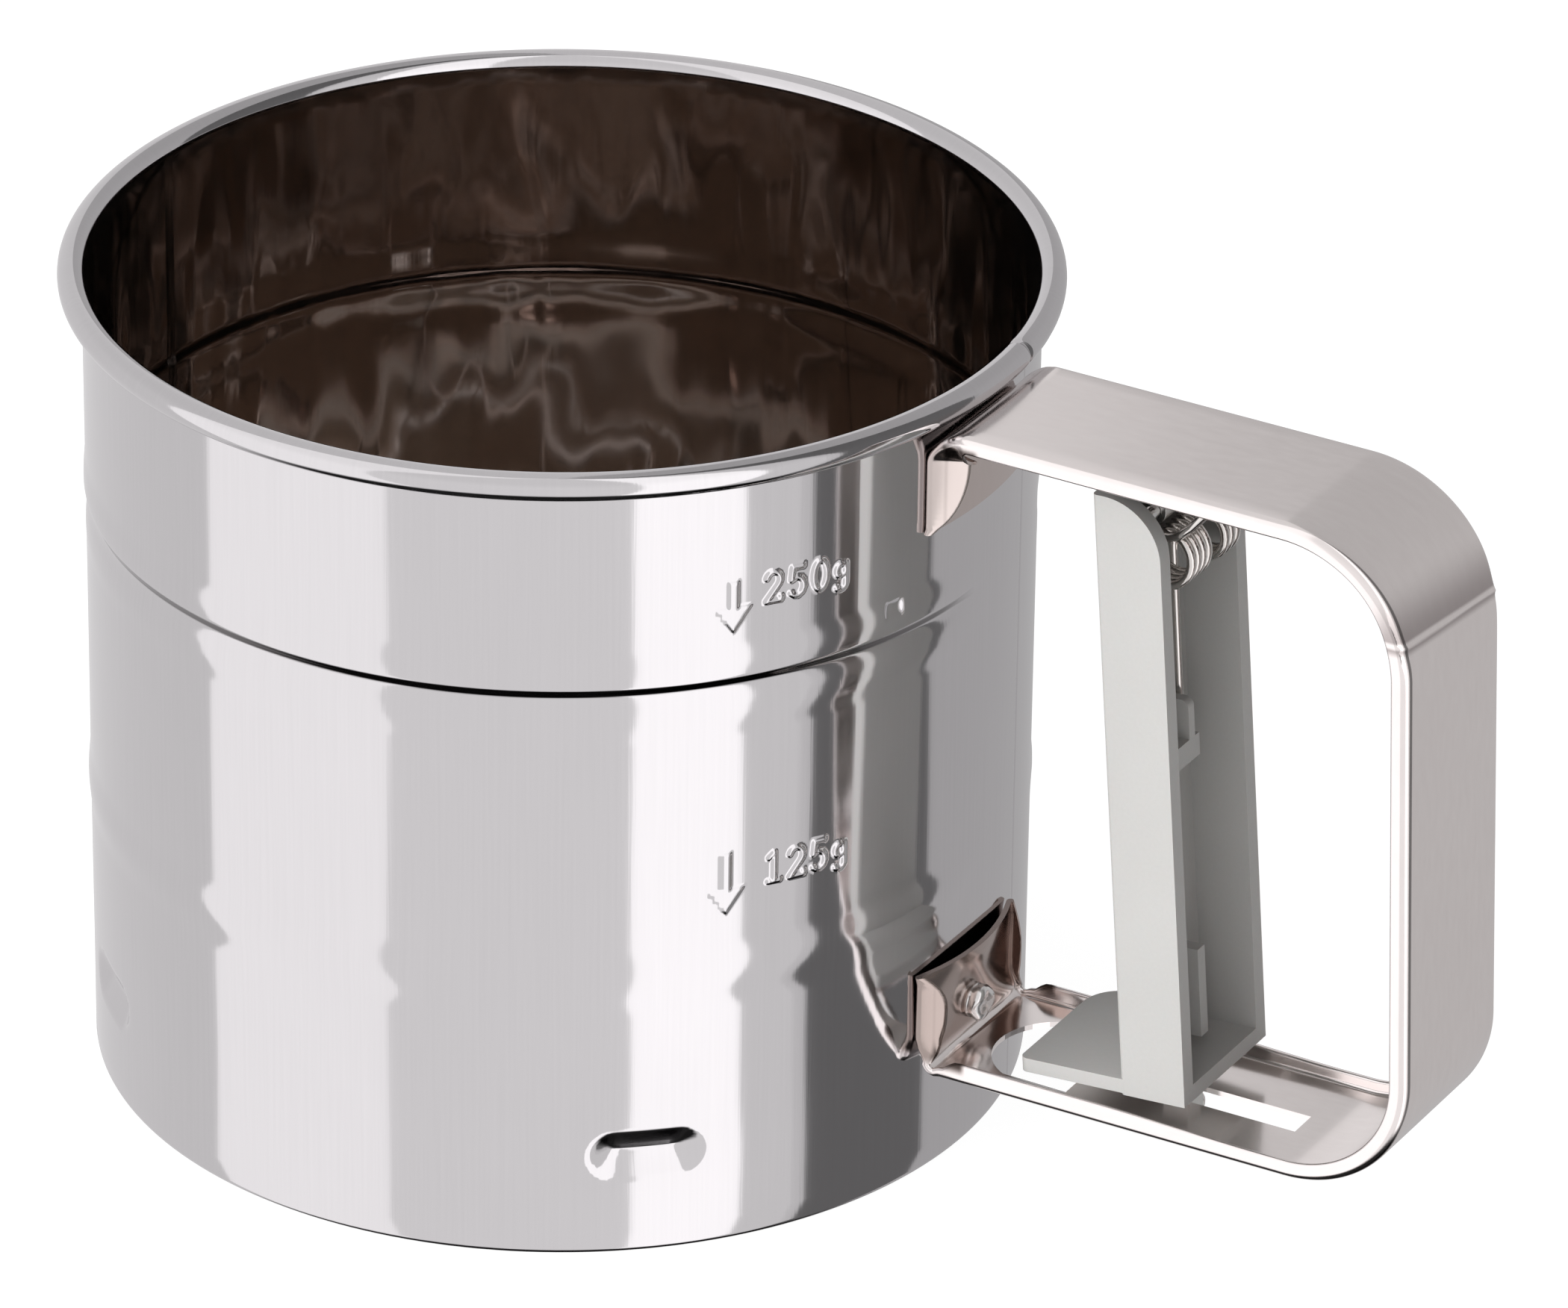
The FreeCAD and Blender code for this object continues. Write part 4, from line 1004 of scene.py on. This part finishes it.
def area_light(name, place, target, size, power, glossy=True):
    """Square area light aimed at a target; places in metres."""
    data = bpy.data.lights.new(name, "AREA")
    data.shape = "SQUARE"
    data.size = size
    data.energy = power
    light = bpy.data.objects.new(name, data)
    light.location = place
    light.rotation_mode = "QUATERNION"
    light.rotation_quaternion = (Vector(target) - Vector(place)).to_track_quat("-Z", "Y")
    light.visible_glossy = glossy
    bpy.context.scene.collection.objects.link(light)
    return light


def make_floor():
    """White floor that glows evenly. The steel doesn't mirror it, as if the sifter stood on a small stand."""
    size = 3000.0
    mesh = bpy.data.meshes.new("floor")
    corners = [(-size, -size, -0.02), (size, -size, -0.02), (size, size, -0.02), (-size, size, -0.02)]
    mesh.from_pydata([tuple(c * MM for c in v) for v in corners], [], [(0, 1, 2, 3)])
    floor = bpy.data.objects.new("floor", mesh)
    bpy.context.scene.collection.objects.link(floor)
    material, nodes, shader = new_material("floor", Roughness=0.9)
    shader.inputs["Base Color"].default_value = (0.12, 0.12, 0.12, 1)
    shader.inputs["Emission Color"].default_value = (1, 1, 1, 1)
    shader.inputs["Emission Strength"].default_value = 0.97
    floor.data.materials.append(material)
    floor.visible_glossy = False
    return floor


def make_shade_disc():
    """Dark disc under the wire cloth, inside the hem: painted shade, so that what shows through the cloth is
    dark.
    """
    count, radius = 64, 46.5
    turns = [2 * math.pi * k / count for k in range(count)]
    mesh = bpy.data.meshes.new("shade_disc")
    rim = [(radius * MM * math.cos(t), radius * MM * math.sin(t), -0.01 * MM) for t in turns]
    mesh.from_pydata(rim, [], [tuple(range(count))])
    shade_disc = bpy.data.objects.new("shade_disc", mesh)
    bpy.context.scene.collection.objects.link(shade_disc)
    material, _, shader = new_material("shade_disc", Roughness=0.8)
    shader.inputs["Base Color"].default_value = (0.035, 0.026, 0.02, 1)
    shade_disc.data.materials.append(material)
    return shade_disc


def make_camera():
    """Camera with a long lens, slightly rolled."""
    azimuth, elevation, roll = math.radians(29.81), math.radians(27.80), math.radians(0.87)
    distance = 1119.66 * MM
    target = Vector((29.53, 2.58, 47.70)) * MM
    level = math.cos(elevation)
    back = Vector((math.sin(azimuth) * level, -math.cos(azimuth) * level, math.sin(elevation)))
    right = Vector((math.cos(azimuth), math.sin(azimuth), 0))
    up = back.cross(right)
    side = right * math.cos(roll) + up * math.sin(roll)
    top = up * math.cos(roll) - right * math.sin(roll)
    data = bpy.data.cameras.new("camera")
    data.sensor_width = 36.0
    data.lens = 245.18
    data.shift_x = -0.0197
    data.shift_y = 0.0190
    data.clip_start = 0.1
    data.clip_end = 20.0
    camera = bpy.data.objects.new("camera", data)
    camera.matrix_world = Matrix(((side.x, top.x, back.x, 0), (side.y, top.y, back.y, 0),
                                  (side.z, top.z, back.z, 0), (0, 0, 0, 1)))
    camera.location = target + back * distance
    bpy.context.scene.collection.objects.link(camera)
    bpy.context.scene.camera = camera
    return camera


# ---------------------------------------------------------------- assembly
def build():
    """Make the stage, the pieces and their materials."""
    bpy.context.scene.view_settings.view_transform = "Standard"
    make_camera()
    make_world()
    make_floor()
    # painted shade: dark disc under the wire cloth
    make_shade_disc()
    area_light("key", (-0.4, -1.15, 0.35), (0.02, 0, 0.05), 0.6, 8.0, glossy=False)
    area_light("overhead", (-0.35, -0.2, 1.25), (0.05, 0, 0.0), 0.6, 6.0, glossy=False)

    steel = cup_steel()
    strap = strap_steel()
    plastic = trigger_plastic()
    satin = plain_steel("satin_steel", (0.58, 0.57, 0.55), 0.28)
    wire = plain_steel("drawn_wire", (0.66, 0.65, 0.64), 0.16)
    spring = grained_metal("spring_wire_steel", (0.76, 0.73, 0.70), 0.10, 0.03, (300.0, 300.0, 300.0))
    # painted highlight colour: the cloth wire is tinted brown so that it catches warm tan highlights inside
    # the cup
    cloth = plain_steel("cloth_steel", (0.40, 0.32, 0.25), 0.30)
    brass = plain_steel("turned_brass", (0.70, 0.52, 0.26), 0.30)
    rivet = grained_metal("rivet_aluminium", (0.90, 0.88, 0.87), 0.24, 0.25, (900.0, 900.0, 900.0),
                          speck=0.08)

    make_cup(steel)
    make_strap(strap)
    make_spring(spring)
    make_cloth(cloth)
    make_rivet(rivet)
    finish_node("trigger", plastic, 0.35)
    for name in ("sieve_lower_ring", "sieve_upper_ring"):
        finish_node(name, satin, 0.12)
    for name in ("lower_washer", "upper_washer", "top_washer", "rivet_washer",
                 "agitator_spider", "crank_arm"):
        finish_node(name, satin, 0.10)
    for name in ("pivot_stud", "hinge_bracket"):
        finish_node(name, satin, 0.12)
    for name in ("drive_rod", "hinge_pin"):
        finish_node(name, wire, 0.08)
    for name in ("retaining_clip", "rod_clip_trigger"):
        finish_node(name, spring, 0.05)
    finish_node("agitator_hub", brass, 0.12)
    finish_node("crank_rivets", rivet, 0.12)


build()
